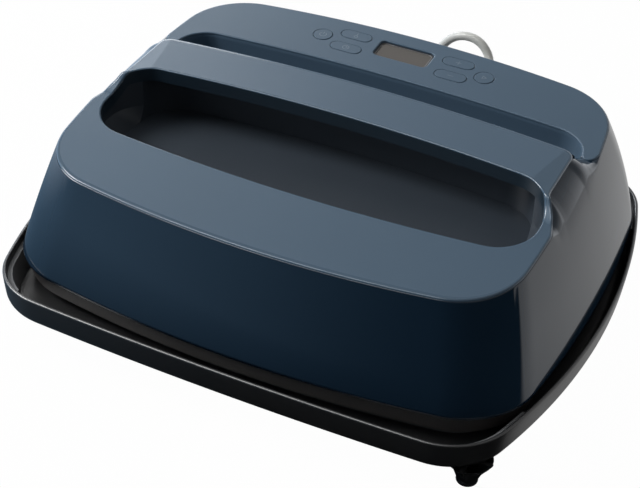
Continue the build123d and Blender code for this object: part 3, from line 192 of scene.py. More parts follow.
# Colour, roughness, its spread, the grain's scale and strength, specular level, drift of tone
PLASTICS = {
    "gloss_navy": ((0.0095, 0.0225, 0.0400), 0.07, 0.015, None, 0.5, 0.03),
    "slate_satin": (SLATE, 0.46, 0.03, (2600.0, 0.10), 0.35, 0.02),
    "well_charcoal": ((0.036, 0.045, 0.057), 0.40, 0.04, (1800.0, 0.2)),
    "guard_brown": ((0.030, 0.026, 0.025), 0.5, 0.05, (1500.0, 0.25)),
    "tray_black": ((0.013, 0.0133, 0.014), 0.34, 0.05, (1600.0, 0.3), 0.95),
    "mat_grey": ((0.10, 0.105, 0.11), 0.75, 0.05, (900.0, 0.3)),
    "tip_grey": ((0.012, 0.013, 0.015), 0.6, 0.05, (1200.0, 0.3)),
    "guide_grey": ((0.16, 0.165, 0.17), 0.6, 0.05, (1200.0, 0.2)),
    "cord_offwhite": ((0.60, 0.60, 0.565), 0.42, 0.05, (700.0, 0.1)),
    "black_part": ((0.02, 0.02, 0.022), 0.45, 0.05, (1200.0, 0.2)),
    "blue_block": ((0.03, 0.10, 0.06), 0.45, 0.05, (1200.0, 0.2)),
    "core_yellow": ((0.45, 0.33, 0.07), 0.5, 0.05, (600.0, 0.2)),
    "lead_red": ((0.30, 0.03, 0.02), 0.45, 0.05, (600.0, 0.1)),
    "insulation": ((0.62, 0.60, 0.53), 0.95, 0.03, (300.0, 0.9)),
    "board_green": ((0.01, 0.09, 0.04), 0.3, 0.05, (300.0, 0.1)),
    "lcd_dark": ((0.13, 0.12, 0.11), 0.35, 0.04, (900.0, 0.05)),
    "tie_black": ((0.015, 0.015, 0.017), 0.9, 0.03, (900.0, 0.8)),
    "slate_edge": (SLATE, 0.20, 0.03),
    # Slate darkened as painted shade, for the mouth's collar and the cover's inner wall, which are slate
    # in shade
    "painted_shade_slate": ((0.012, 0.024, 0.036), 0.34, 0.04, (2200.0, 0.1)),
    "mark_pale": ((0.16, 0.20, 0.24), 0.5, 0.04, (1500.0, 0.1)),
    "display_glass": ((0.115, 0.105, 0.095), 0.16, 0.02),
}

# Colour, roughness, stretch of the noise
METALS = {
    "plate_alu": ((0.50, 0.50, 0.51), 0.42),
    "steel_sheet": ((0.60, 0.60, 0.61), 0.35, (1.0, 14.0, 1.0)),
    "steel_parts": ((0.55, 0.55, 0.56), 0.32),
    "heatsink": ((0.52, 0.52, 0.53), 0.38, (1.0, 1.0, 10.0)),
    "pin_brass": ((0.72, 0.56, 0.26), 0.25),
}

MAT = {name: plastic(name, *values) for name, values in PLASTICS.items()}
MAT.update({name: metal(name, *values) for name, values in METALS.items()})

SLOT_OF = {entry["node"]: entry["material_slot"] for entry in frame["record"]["subparts"]}
for node, obj in NODES.items():
    # The mouth's collar takes the darker slate instead of its slot's material: painted shade
    material = MAT["painted_shade_slate" if node == "mouth_collar" else SLOT_OF[node]]
    obj.data.materials.clear()
    obj.data.materials.append(material)


# Shapes: outlines, heights and mesh helpers, in millimetres until a mesh is made

# The gloss shell: its lower edge, and how its walls lean in with the height and its square
EDGE_Z = 38.8
HALF_LENGTH, FRONT_EDGE, BACK_EDGE = 170.0, -141.4, 146.9
SIDE_LEAN, FRONT_LEAN, BACK_LEAN = (0.245, 0.00085), (0.34, 0.00015), (0.163, 0.00287)
SIDE_BOW, END_BOW = 670.0, 722.0
CORNER, CORNER_LEAN = 49.7, 0.088

# The grip bar: its top, its bow in plan, and its section from the lip in front to the rear edge
GRIP_Z, GRIP_BOW = 121.8, 1000.0
GRIP_FRONT, GRIP_REAR = -1.3, 37.3
LIP_SETBACK, LIP_RADIUS, HOLLOW_RADIUS, LIP_ANGLE = 3.2, 8.0, 22.0, 57.0
REAR_ROUND, REAR_RUN, REAR_STEP, REAR_DROP = 4.0, 3.8, 1.5, 2.751
STEP_HEIGHT = 10.5
NOWHERE = -1000.0

# The round shoulder at the bar's ends, and the slanting plane that trims the bar's top there
SHOULDER_X, SHOULDER_Z, SHOULDER_RADIUS, SHOULDER_REACH = 126.0, 99.0, 25.1, 25.0
CREASE_ANGLE, CREASE_X, CREASE_SKEW = 7.0, 125.4, 0.2

# The front band's slope, the control panel's plane, and the shell's depth under the covers
BAND_Y, BAND_Z, BAND_SLOPE, BAND_END = -100.0, 102.4, 0.11, 15.0
PANEL_Y, PANEL_Z, PANEL_SLOPE = 90.0, 114.4, 0.08
GROOVE_GAP = 6.5
SKIN_DROP = 0.8

# Outlines: half width, front, back, bow of side, front and back, corner; and which of these grow
MOUTH = (138.7, -67.7, GRIP_FRONT, 900.0, 1170.0, 1000.0, 25.4), (1, -1, 1, 0, 1, 1, 1)
GROOVE = (136.5, GRIP_REAR - 30.6, 68.6, 900.0, 1000.0, 1400.0, 22.0), (0,) * 7
TRAY = (178.6, -153.3, 153.3, 416.0, 2560.0, 2560.0, 42.0), (1, -1, 1, 0, 0, 0, 1)


def linspace(a, b, n, last=False):
    return np.linspace(a, b, n, endpoint=last)


def with_z(points, z):
    """Points in plan with a height, one for all or one each."""
    return np.column_stack([points, np.broadcast_to(z, len(points))])


def unit(vectors):
    """Each row at length 1."""
    return vectors / np.maximum(np.linalg.norm(vectors, axis=-1, keepdims=True), 1e-9)


def quarter(side_c, side_radius, end_c, end_radius, corner, t_end, t_corner, t_side):
    """Points from the middle of a bowed end, round the corner, to the middle of the bowed side."""
    r1, r2 = side_radius - corner, end_radius - corner
    gap = math.hypot(side_c, end_c)
    along = (r1 * r1 - r2 * r2 + gap * gap) / (2 * gap)
    off = math.sqrt(r1 * r1 - along * along)
    ux, uy = -side_c / gap, end_c / gap
    cx, cy = side_c + ux * along - uy * off, uy * along + ux * off
    if cx < 0 or cy < 0:
        cx, cy = side_c + ux * along + uy * off, uy * along - ux * off
    a_end = math.atan2(cy - end_c, cx)
    a_side = math.atan2(cy, cx - side_c)
    arcs = ((0.0, end_c, end_radius, QUARTER_TURN, a_end, t_end),
            (cx, cy, corner, a_end, a_side, t_corner),
            (side_c, 0.0, side_radius, a_side, 0.0, t_side))
    return np.array([(x + radius * math.cos(a), y + radius * math.sin(a))
                     for x, y, radius, start, end, steps in arcs for a in start + (end - start) * steps])


def half_outline(half_width, front, back, side_radius, front_radius, back_radius, corner, along):
    """Right half of a bowed outline, from the front middle to the back middle."""
    mid, depth = (front + back) / 2, (back - front) / 2
    side_c = half_width - side_radius
    a = quarter(side_c, side_radius, depth - front_radius, front_radius, corner, *along[:3])
    b = quarter(side_c, side_radius, depth - back_radius, back_radius, corner, *along[:2:-1])
    return np.vstack([a * (1, -1) + (0, mid), (b + (0, mid))[::-1]])


def outline(shape, along, grow=0.0):
    """Right half of a named outline, grown all round."""
    values, grows = shape
    return half_outline(*(np.array(values) + np.array(grows) * grow), along)


def stations(*counts):
    """Even stations along the six stretches of a half outline; the third runs to its end."""
    return [linspace(0, 1, n, k == 2) for k, n in enumerate(counts)]


def mirrored(row):
    """A closed loop from its right half: the left half is the mirror image."""
    left = row[1:-1][::-1].copy()
    left[:, 0] *= -1
    return np.vstack([row, left])


def dome_values(h):
    """The shell's outline at height h over its lower edge, as half_outline takes it."""
    side = HALF_LENGTH - SIDE_LEAN[0] * h - SIDE_LEAN[1] * h * h
    front = FRONT_EDGE + FRONT_LEAN[0] * h + FRONT_LEAN[1] * h * h
    back = BACK_EDGE - BACK_LEAN[0] * h - BACK_LEAN[1] * h * h
    return side, front, back, SIDE_BOW, END_BOW, END_BOW, CORNER - CORNER_LEAN * h


def behind(x, y):
    """Distance behind the grip bar's bowed datum."""
    return np.hypot(x, y + GRIP_BOW) - GRIP_BOW


def on_bar(x, yp):
    """Y of the point at x whose distance behind the bar's datum is yp."""
    return np.sqrt((GRIP_BOW + yp) ** 2 - np.asarray(x, float) ** 2) - GRIP_BOW


def bar_profile(yp):
    """Height of the grip bar's cross-section at yp, the distance behind its bowed datum."""
    a = math.radians(LIP_ANGLE)
    crest = GRIP_FRONT - LIP_SETBACK
    meet = crest - LIP_RADIUS * math.sin(a)
    foot = meet - HOLLOW_RADIUS * math.sin(a)
    foot_z = GRIP_Z - LIP_RADIUS * (1 - math.cos(a)) - HOLLOW_RADIUS * (1 - math.cos(a))
    z = np.full_like(yp, NOWHERE)
    part = (yp >= foot) & (yp < meet)
    z[part] = foot_z + HOLLOW_RADIUS - np.sqrt(HOLLOW_RADIUS ** 2 - (yp[part] - foot) ** 2)
    part = (yp >= meet) & (yp < crest)
    z[part] = GRIP_Z - LIP_RADIUS + np.sqrt(LIP_RADIUS ** 2 - (yp[part] - crest) ** 2)
    z[(yp >= crest) & (yp <= GRIP_REAR)] = GRIP_Z
    part = (yp > GRIP_REAR) & (yp <= GRIP_REAR + REAR_RUN)
    z[part] = GRIP_Z - REAR_ROUND + np.sqrt(REAR_ROUND ** 2 - (yp[part] - GRIP_REAR) ** 2)
    part = (yp > GRIP_REAR + REAR_RUN) & (yp < GRIP_REAR + REAR_RUN + REAR_STEP)
    u = (yp[part] - GRIP_REAR - REAR_RUN) / REAR_STEP
    z[part] = (GRIP_Z - REAR_DROP) - STEP_HEIGHT * u * u * (3 - 2 * u)
    return z


def panel_height(y):
    return PANEL_Z + PANEL_SLOPE * (y - PANEL_Y)


def low_level(y, drop):
    """Height away from the grip bar: the front band's slope, or the control panel's plane."""
    return np.where(y < BAND_END, BAND_Z + BAND_SLOPE * (y - BAND_Y), panel_height(y)) - drop


def shoulder_height(x, pinch=0.0):
    reach = np.clip(x - SHOULDER_X + pinch, 0.0, SHOULDER_REACH)
    return SHOULDER_Z + np.sqrt(SHOULDER_RADIUS ** 2 - reach ** 2)


def crease_height(x, y, drop):
    slope = math.tan(math.radians(CREASE_ANGLE))
    return GRIP_Z - slope * (x - CREASE_X - CREASE_SKEW * y) - drop


def top_height(x, y):
    """Height of the covers' surface."""
    x, y = np.abs(np.asarray(x, float)), np.asarray(y, float)
    bar = np.minimum(np.minimum(bar_profile(behind(x, y)), shoulder_height(x)), crease_height(x, y, 0.0))
    return np.maximum(low_level(y, 0.0), bar)


# The shell beside the bar: how far its shoulder is pinched in, and where it starts to run down
PINCH_AT, PINCH = (-40.0, -30.0, -4.0, 10.0, 28.0), (0.0, 3.0, 3.0, 1.6, 0.0)
FALL_START, FALL_RUN, FALL_ROUND = 29.0, 23.0, 0.4


def skin_height(x, y):
    """The gloss shell: it runs smoothly from the grip's shoulder down to the panel's level."""
    x, y = np.abs(np.asarray(x, float)), np.asarray(y, float)
    low = low_level(y, SKIN_DROP)
    yp = behind(x, y)
    front = np.where(yp < 0.0, bar_profile(yp), GRIP_Z) - SKIN_DROP
    shoulder = shoulder_height(x, np.interp(yp, PINCH_AT, PINCH))
    high = np.minimum(np.minimum(front, shoulder), crease_height(x, y, SKIN_DROP))
    u = np.clip((yp - FALL_START) / FALL_RUN, 0.0, 1.0)
    full = 2 * FALL_ROUND
    fade = np.where(u < FALL_ROUND, u * u / full, u - FALL_ROUND / 2) / full
    return np.maximum(low, np.where(yp > FALL_START, high * (1 - fade) + low * fade, high))


def top_normal(x, y, step=0.7):
    dx = (top_height(x + step, y) - top_height(x - step, y)) / (2 * step)
    dy = (top_height(x, y + step) - top_height(x, y - step)) / (2 * step)
    return unit(np.stack([-dx, -dy, np.ones_like(dx)], axis=-1))


def ring_quads(count, width, first=0):
    """Quads between count loops of width points each, whose points are numbered from first."""
    made = []
    for a in range(first, first + (count - 1) * width, width):
        for c in range(width):
            d = (c + 1) % width
            made.append((a + c, a + d, a + width + d, a + width + c))
    return made


def end_caps(count, width):
    """The two faces that close the first and the last of count loops."""
    last = (count - 1) * width
    return [tuple(range(width - 1, -1, -1)), tuple(range(last, last + width))]


def grid_mesh(name, rows, normals=None, faces=()):
    """A quad mesh from rows of points, each row a closed loop, with further faces."""
    rows = np.asarray(rows, float)
    if normals is not None:
        normals = np.asarray(normals).reshape(-1, 3)
    return mesh_object(name, rows.reshape(-1, 3), ring_quads(*rows.shape[:2]) + list(faces), normals)


def mesh_object(name, points, faces, normals=None):
    """An object from points in millimetres. Its faces are turned to agree with the normals, if any."""
    points = np.asarray(points, float)
    if normals is not None:
        agreement = 0.0
        for f in faces[:: max(1, len(faces) // 400)]:
            a, b, c = (points[i] for i in f[:3])
            agreement += float(np.dot(np.cross(b - a, c - a), normals[f[0]]))
        if agreement < 0:
            faces = [tuple(reversed(f)) for f in faces]
    mesh = bpy.data.meshes.new(name)
    mesh.from_pydata([tuple(p) for p in points * MM], [], faces)
    if normals is None:
        shell = bmesh.new()
        shell.from_mesh(mesh)
        bmesh.ops.recalc_face_normals(shell, faces=shell.faces)
        shell.to_mesh(mesh)
        shell.free()
    mesh.polygons.foreach_set("use_smooth", [True] * len(mesh.polygons))
    if normals is not None:
        mesh.normals_split_custom_set_from_vertices([tuple(n) for n in unit(normals)])
    return add_object(name, mesh)


def dress(obj, body, slot, *nodes):
    """Material (named by its slot) and body of a piece, and the CAD nodes it stands for."""
    obj.data.materials.append(MAT[slot])
    if nodes:
        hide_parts(*nodes)
    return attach(obj, body)


def loop_normals(loop):
    """Unit normals to the right of a closed 2D loop's direction of travel."""
    ahead = np.roll(loop, -1, axis=0) - np.roll(loop, 1, axis=0)
    return unit(np.column_stack([ahead[:, 1], -ahead[:, 0]]))


def normals_toward(loop, first):
    """A loop's normals on the side where the first one has a share along the given direction."""
    n = loop_normals(loop)
    return -n if np.dot(n[0], first) < 0 else n


def circle(cx, cy, radius, count=48):
    a = linspace(0, FULL_TURN, count)
    return np.column_stack([cx + radius * np.cos(a), cy + radius * np.sin(a)])


def rounded_box(cx, cy, length, width, radius, steps=8):
    """Loop of a rectangle with rounded corners; radius = width / 2 gives a pill."""
    rows = []
    for k, (sx, sy) in enumerate(((1, 1), (-1, 1), (-1, -1), (1, -1))):
        mx, my = cx + sx * (length / 2 - radius), cy + sy * (width / 2 - radius)
        for t in np.linspace(0, QUARTER_TURN, steps):
            a = k * QUARTER_TURN + t
            rows.append((mx + radius * math.cos(a), my + radius * math.sin(a)))
    rows = np.array(rows)
    keep = np.linalg.norm(rows - np.roll(rows, 1, axis=0), axis=1) > 1e-6
    return rows[keep]


# Plates: flat pieces with rounded edges on the control panel's plane

PANEL_RUN = math.hypot(1.0, PANEL_SLOPE)
PANEL_UP = np.array([0.0, -PANEL_SLOPE / PANEL_RUN, 1.0 / PANEL_RUN])


def panel_point(u, v, depth):
    """A point of the control panel: u along X, v up its slope, depth below its face."""
    on_face = np.array([u, PANEL_Y + v / PANEL_RUN, PANEL_Z + v * PANEL_SLOPE / PANEL_RUN])
    return on_face - PANEL_UP * depth


def plate(name, loops, depth, edge, sunk=0.0, steps=5):
    """A plate whose face lies sunk below the panel's. loops are 2D, the first is its outline and the
    rest are holes; edge is how far each one's rounded edge reaches (across, down)."""
    points, normals, faces, tops = [], [], [], []
    origin, along_u, along_v = (panel_point(*p, sunk) for p in ((0.0, 0.0), (1.0, 0.0), (0.0, 1.0)))
    for k, loop in enumerate(loops):
        loop = np.asarray(loop, float)
        area = 0.5 * np.sum(loop[:, 0] * np.roll(loop[:, 1], -1) - np.roll(loop[:, 0], -1) * loop[:, 1])
        if (area > 0) != (k == 0):
            loop = loop[::-1]
        out = loop_normals(loop)
        across, down = edge[k]
        start, width = len(points), len(loop)
        sides = np.array([panel_point(*n, sunk) - origin for n in out])
        rings = [(t, across * (1 - math.sin(t)), down * (1 - math.cos(t)))
                 for t in np.linspace(0, QUARTER_TURN, steps)]
        for t, inset, low in [*rings, (QUARTER_TURN, 0.0, depth)]:
            for p, side in zip(loop - out * inset, sides):
                points.append(panel_point(*p, low + sunk))
                normals.append(PANEL_UP * math.cos(t) + side * math.sin(t))
        faces += [(a, d, c, b) for a, b, c, d in ring_quads(steps + 1, width, start)]
        tops.append(range(start, start + width))

    def flat(point):
        """Back from a point on the face to its (u, v)."""
        away = point - origin
        return Vector((float(np.dot(away, along_u - origin)), float(np.dot(away, along_v - origin)), 0.0))

    index = [i for top in tops for i in top]
    for tri in tessellate_polygon([[flat(points[i]) for i in top] for top in tops]):
        a, b, c = (index[i] for i in tri)
        if np.dot(np.cross(points[b] - points[a], points[c] - points[a]), PANEL_UP) < 0:
            b, c = c, b
        faces.append((a, b, c))
    return mesh_object(name, np.array(points), faces, np.array(normals))


# Housing skin: every column runs from under the covers, over the shell's edge and down the wall

HEIGHTS = np.arange(0.0, 93.0, 1.0)
FRONT_COUNT, CORNER_COUNT, BACK_COUNT = 34, 22, 30
NORMAL_HEIGHT, LIP_HEIGHT = 70, 12
WALL_THICK = 2.4

# The stretch beside the grip bar, and how softly the shell's edge is rounded there
BAR_END_X, BAR_SIDE_FRONT, BAR_SIDE_REAR = 120.0, -62.0, 60.0
SOFTNESS_AT = (-32, -26, -18, -8, 26, 42, 58)
SOFTNESS = (0.45, 1.5, 6.0, 9.0, 9.0, 2.6, 0.45)

# Each column: points that are smoothed, then rows on the shelf, round the edge and down the wall
SHELF_POINTS, WALL_POINTS, LINE_GAP = 60, 120, 0.35
SHELF_ROWS, EDGE_ROWS, WALL_ROWS = 18, 22, 34
WALL_STRETCH, EDGE_ABOVE, EDGE_BELOW = 1.06, 3.0, 7.0
PLAIN_SHELF, EDGE_DROP = 5.0, 2.5
RIM_CLEARANCE, RIM_X = 1.3, 60.0

# Where the shell's inner edge lies beside the bar: widths by y, then X by distance behind the datum
SHELF_AT, SHELF = (-62, -40, -20), (5, 9, 14)
BAR_SHELF_AT, BAR_SHELF_X = (-4.0, 6.0), (132.0, 122.0)
REAR_SHELF_AT, REAR_SHELF_X = 37.25, 136.45
MOUTH_END, MOUTH_X = 3.0, 136.0

# From here back the columns follow the bar's bow, and then turn into the outline's normals
BOW_FRONT, TURN_AT, TURN_RUN = -95.0, 50.0, 14.0


def smooth_line(points, sigma):
    """Round a polyline's corners: points are evenly spaced, sigma is in points."""
    reach = int(math.ceil(3 * sigma))
    k = np.exp(-0.5 * (np.arange(-reach, reach + 1) / sigma) ** 2)
    k /= k.sum()
    head = points[0] + (points[0] - points[1]) * np.arange(reach, 0, -1)[:, None]
    tail = points[-1] + (points[-1] - points[-2]) * np.arange(1, reach + 1)[:, None]
    padded = np.vstack([head, points, tail])
    return np.column_stack([np.convolve(padded[:, i], k, "valid") for i in range(points.shape[1])])


def distance_along(points):
    step = np.linalg.norm(np.diff(points, axis=0), axis=1)
    return np.concatenate([[0.0], np.cumsum(step)])


def resample(points, gap=None, count=None):
    """The same line with even steps, as long as gap or as many as count."""
    along = distance_along(points)
    count = count or max(4, int(round(along[-1] / gap)) + 1)
    return points_at(points, along, np.linspace(0.0, along[-1], count))


def points_at(points, along, at):
    return np.column_stack([np.interp(at, along, points[:, i]) for i in range(points.shape[1])])


def dome_columns():
    """Dome outlines at every height with shared stations, dense where the grip bar ends."""
    front = np.concatenate([linspace(0, 0.45, 14), linspace(0.45, 1.0, 46, True)])
    rear = np.concatenate([linspace(0, 0.42, 14), linspace(0.42, 0.80, 52), linspace(0.80, 1.0, 8)])
    corner = linspace(0, 1, CORNER_COUNT)
    along = linspace(0, 1, FRONT_COUNT), corner, front, rear, corner, linspace(0, 1, BACK_COUNT)
    return np.array([half_outline(*dome_values(h), along) for h in HEIGHTS])


# Points of the wall's right half, by height and column
WALL = dome_columns()
COLUMNS = range(WALL.shape[1])


def column_at(k, h):
    h = float(np.clip(h, 0.0, HEIGHTS[-1]))
    i = min(int(h), len(HEIGHTS) - 2)
    f = h - i
    return WALL[i, k] * (1 - f) + WALL[i + 1, k] * f


def edge_of(k, surface):
    """Where the wall of column k meets a surface given as a height over x and y."""
    low, high = 40.0, 92.0
    for _ in range(24):
        mid = (low + high) / 2
        x, y = column_at(k, mid)
        if float(surface(x, y)) - EDGE_Z > mid:
            low = mid
        else:
            high = mid
    h = (low + high) / 2
    return column_at(k, h), h


def outward_at(loop):
    """Unit normals of an open 2D line, to the right of its direction."""
    tangent = np.gradient(loop, axis=0)
    return unit(np.column_stack([tangent[:, 1], -tangent[:, 0]]))


def shelf_width(q, yp, rim):
    """How far the shell reaches in from its edge beside the bar, up to the mouth's rim."""
    width = float(np.interp(q[1], SHELF_AT, SHELF))
    if q[1] > SHELF_AT[-1]:
        on_rear = yp >= REAR_SHELF_AT
        width = q[0] - (REAR_SHELF_X if on_rear else float(np.interp(yp, BAR_SHELF_AT, BAR_SHELF_X)))
    if yp < MOUTH_END:
        width = min(width, q[0] - float(np.interp(on_bar(MOUTH_X, yp), rim[:, 1], rim[:, 0])))
    return width


def skin_column(k, outward, rim):
    """One line down the shell, rounded where it is beside the bar, and its edge's height."""
    q, h = edge_of(k, skin_height)
    yp = behind(*q)
    beside_bar = BAR_SIDE_FRONT < q[1] < BAR_SIDE_REAR and q[0] > BAR_END_X
    s = np.linspace(shelf_width(q, yp, rim) if beside_bar else PLAIN_SHELF, 0.0, SHELF_POINTS)
    x = q[0] - outward[0] * s
    y = q[1] - outward[1] * s
    if q[0] > BAR_END_X and q[1] > BOW_FRONT:
        w = float(np.clip((yp - TURN_AT) / TURN_RUN, 0.0, 1.0))
        x = x * w + (q[0] - s) * (1 - w)
        y = y * w + on_bar(x, yp) * (1 - w)
    shelf = np.column_stack([x, y, skin_height(x, y)])
    wall = np.array([[*column_at(k, a), EDGE_Z + a] for a in np.linspace(h, 0.0, WALL_POINTS)[1:]])
    line = resample(np.vstack([shelf, wall]), gap=LINE_GAP)
    soft = float(np.interp(yp, SOFTNESS_AT, SOFTNESS)) if beside_bar else SOFTNESS[0]
    line = smooth_line(line, soft / LINE_GAP)
    line = np.vstack([line[:1] - (0.0, 0.0, EDGE_DROP), line])
    line[:, 2] = np.maximum(line[:, 2], EDGE_Z)
    return line, h


def make_skin():
    outward = outward_at(WALL[NORMAL_HEIGHT])
    rim = outline(MOUTH, stations(20, 30, 16, 16, 30, 20), RIM_CLEARANCE)
    rim = rim[rim[:, 0] > RIM_X]
    made = []
    for k in COLUMNS:
        line, h = skin_column(k, outward[k], rim)
        along = distance_along(line)
        bend = min(max(along[-1] - h * WALL_STRETCH, 2.0), along[-1] - 20.0)
        upper, lower = max(bend - EDGE_ABOVE, 0.5), bend + EDGE_BELOW
        at = np.concatenate([linspace(0.0, upper, SHELF_ROWS), linspace(upper, lower, EDGE_ROWS),
                             linspace(lower, along[-1], WALL_ROWS, True)])
        made.append(points_at(line, along, at))
    rows = list(np.array(made).transpose(1, 0, 2))
    # The lower edge turns in by the wall's thickness and runs up inside it
    for level, z in ((0, EDGE_Z + 0.05), (LIP_HEIGHT, EDGE_Z + LIP_HEIGHT)):
        rows.append(with_z(WALL[level] - outward_at(WALL[level]) * WALL_THICK, z))
    return grid_mesh("housing_skin", [mirrored(row) for row in rows])


# Front cover: slate ring round the finger well, with the top of the grip bar

# Its rear edge on the bar, the corner there, and the reach of its rounded edges (across, down)
COVER_REAR = GRIP_REAR - 0.1
COVER_END, COVER_TURN = 136.7, 7.0
INNER_ROUND, OUTER_ROUND, OUTER_STAND = (1.1, 1.1), (1.3, 0.72), 0.12
COVER_THICK, BAR_THICK, INNER_DEPTH, COVER_TUCK = 1.8, 2.0, 2.0, 1.2
REAR_COUNT, COVER_ROWS, ROUND_ROWS = 79, 34, 6


def slate_limit(y):
    """X at which the slate stops beside the finger well and the grip bar."""
    ys = [-60, -52, -45, -38, -33, -27, -24, -21, -18.3, -14, 0, 45]
    xs = [151.0, 149.5, 148.2, 146.9, 145.4, 143.1, 141.0, 138.6, 137.1, 136.7, 136.7, 136.7]
    return float(np.interp(y, ys, xs))


def cover_outer():
    """Right half of the cover's outer edge: round the front, beside the bar and along its rear."""
    outer = []
    for k in COLUMNS:
        q, _ = edge_of(k, top_height)
        yp = behind(*q)
        if q[0] > BAR_END_X and q[1] > 0 and yp > COVER_REAR:
            break
        if q[0] > BAR_END_X and q[1] > BAR_SIDE_FRONT:
            x = min(q[0], slate_limit(q[1]))
            q = np.array([x, float(on_bar(x, yp))])
        outer.append(q)
    corner = np.array([COVER_END, float(on_bar(COVER_END, COVER_REAR))])
    outer = [q for q in outer if not (q[0] > BAR_END_X and q[1] > corner[1] - COVER_TURN)]
    past = COVER_END - COVER_TURN
    start, end = corner - (0.0, COVER_TURN - 0.2), np.array([past, float(on_bar(past, COVER_REAR))])
    for t in np.linspace(0, 1, 12):
        outer.append((1 - t) ** 2 * start + 2 * t * (1 - t) * corner + t * t * end)
    xs = np.linspace(past, 0.0, REAR_COUNT + 1)[1:]
    return np.vstack([np.array(outer), np.column_stack([xs, on_bar(xs, COVER_REAR)])])


def cover_inner(count):
    """Right half of the mouth's edge, with count points in step with the outer edge."""
    side, bar_corner = 18, 60
    loop = outline(MOUTH, stations(FRONT_COUNT, CORNER_COUNT, side, side, bar_corner, REAR_COUNT))
    first = FRONT_COUNT + CORNER_COUNT
    rear = first + 2 * side + bar_corner - 1
    middle = resample(loop[first:rear + 1], count=count - REAR_COUNT - first + 1)[:-1]
    return np.vstack([loop[:first], middle, resample(loop[rear:], count=REAR_COUNT)])


def make_cover():
    outer = cover_outer()
    inner, outer = mirrored(cover_inner(len(outer))), mirrored(outer)
    n_in, n_out = normals_toward(inner, (0, 1)), normals_toward(outer, (0, -1))
    rows, normals = [], []

    def surface(p, drop=0.0):
        return with_z(p, top_height(*p.T) - drop)

    def turned(p, n, t):
        return top_normal(*p.T) * math.cos(t) + with_z(n, 0.0) * math.sin(t)

    rows.append(surface(inner, INNER_DEPTH))
    normals.append(with_z(n_in, 0.0))
    across, down = INNER_ROUND
    for t in np.linspace(QUARTER_TURN, 0, ROUND_ROWS):
        p = inner - n_in * across * (1 - math.sin(t))
        rows.append(surface(p, down * (1 - math.cos(t))))
        normals.append(turned(p, n_in, t))
    a = inner - n_in * across
    across, down = OUTER_ROUND
    b = outer - n_out * across
    for f in np.linspace(0, 1, COVER_ROWS)[1:-1]:
        p = a * (1 - f) + b * f
        rows.append(surface(p))
        normals.append(top_normal(*p.T))
    for t in np.linspace(0, QUARTER_TURN, ROUND_ROWS):
        p = outer - n_out * (across * (1 - math.sin(t)) - OUTER_STAND * math.sin(t))
        base = top_height(*(outer - n_out * across * (1 - math.sin(t))).T)
        rows.append(with_z(p, base - down * (1 - math.cos(t))))
        normals.append(turned(p, n_out, t))
    rows.append(surface(outer, COVER_THICK))
    rear_band = behind(*outer.T) > COVER_REAR - 0.3
    lowest = np.where(rear_band[:, None], outer, outer - n_out * COVER_TUCK)
    thick = np.where(rear_band, BAR_THICK, COVER_THICK)
    rows.append(with_z(lowest, top_height(*outer.T) - thick))
    normals += [with_z(n_out, 0.0)] * 2

    # Collar at the mouth in a darker slate that paints its shade, satin on top, and a glossier finish
    # where the edges are rounded
    cover = grid_mesh("front_cover", rows, normals)
    width = len(inner)
    for face in cover.data.polygons:
        row = face.index // width
        flat = ROUND_ROWS <= row < ROUND_ROWS + COVER_ROWS - 2
        face.material_index = 1 if row < 1 else 0 if flat else 2
    return cover


# Control panel: one plate with horns round the thumb groove

HORN_START, HORN_END = 45.6, 49.6
HORN_TIP = ((136.6, 44.9), (137.0, 43.6), (138.0, 42.6), (139.6, 42.0), (141.4, 41.9), (143.2, 42.5),
            (144.5, 43.8), (145.3, 45.6), (145.8, 47.6))
PANEL_THICK = 1.9

# The thumb groove: its floor, and how far its upper edge lies under the bar, the shell and the panel
GROOVE_FLOOR, GROOVE_ROUND, GROOVE_MIDDLE = 96.8, 3.5, 13.0
UNDER_BAR, UNDER_SHELL, UNDER_PANEL, SHELL_END = 1.6, 1.0, 1.2, 46.0

# The display: length, width and corner radius of window, surround and screen
DISPLAY_V = 6.0
WINDOW, SURROUND, SCREEN = (37.0, 17.5, 3.5), (36.9, 17.4, 3.4), (33.6, 14.2, 2.0)

# Buttons: sizes, gap to their holes, and depth, rounded edge and rise of the caps and their marks
ROUND_RADIUS, PILL_LENGTH, PILL_WIDTH, BUTTON_GAP = 6.2, 21.0, 9.0, 0.35
CAP_DEPTH, CAP_EDGE, CAP_RISE = 3.0, (0.45, 0.35), 0.15
MARK_DEPTH, MARK_EDGE, MARK_RISE = 0.05, (0.05, 0.03), 0.19

# Shape, place (u, v) on the panel, and mark of each button
BUTTONS = {
    "power_button": ("round", -56.0, 3.4, "power"),
    "temperature_button": ("pill", -35.6, 11.4, "thermometer"),
    "timer_button": ("pill", -36.2, -4.0, "clock"),
    "plus_button": ("pill", 35.6, 11.4, "plus"),
    "minus_button": ("pill", 36.2, -4.0, "minus"),
    "start_button": ("round", 56.0, 3.4, "start"),
}


def groove_outline():
    """Right half of the thumb groove's outline, with the part of it that the bar covers."""
    return outline(GROOVE, [linspace(0, 1, n) for n in (8, 10, 24, 24, 24, 40)])


def make_panel():
    edge = [edge_of(k, top_height)[0] for k in COLUMNS]
    outer = np.array([q for q in edge if q[1] > HORN_END and behind(*q) >= GRIP_REAR + GROOVE_GAP + 0.1])
    groove = groove_outline()
    groove = groove[groove[:, 1] > HORN_START]
    loop = mirrored(np.vstack([groove[::-1], resample(np.array(HORN_TIP), count=26), outer]))
    loop = np.column_stack([loop[:, 0], (loop[:, 1] - PANEL_Y) * PANEL_RUN])
    step = np.linalg.norm(loop - np.roll(loop, 1, axis=0), axis=1)
    holes = [rounded_box(0, DISPLAY_V, *WINDOW)]
    holes += [button_loop(kind, x, y, BUTTON_GAP) for kind, x, y, _ in BUTTONS.values()]
    edges = [(1.3, 0.72), (0.9, 0.7)] + [(0.3, 0.25)] * len(BUTTONS)
    return plate("control_panel_plate", [loop[step > 1e-4], *holes], PANEL_THICK, edges)


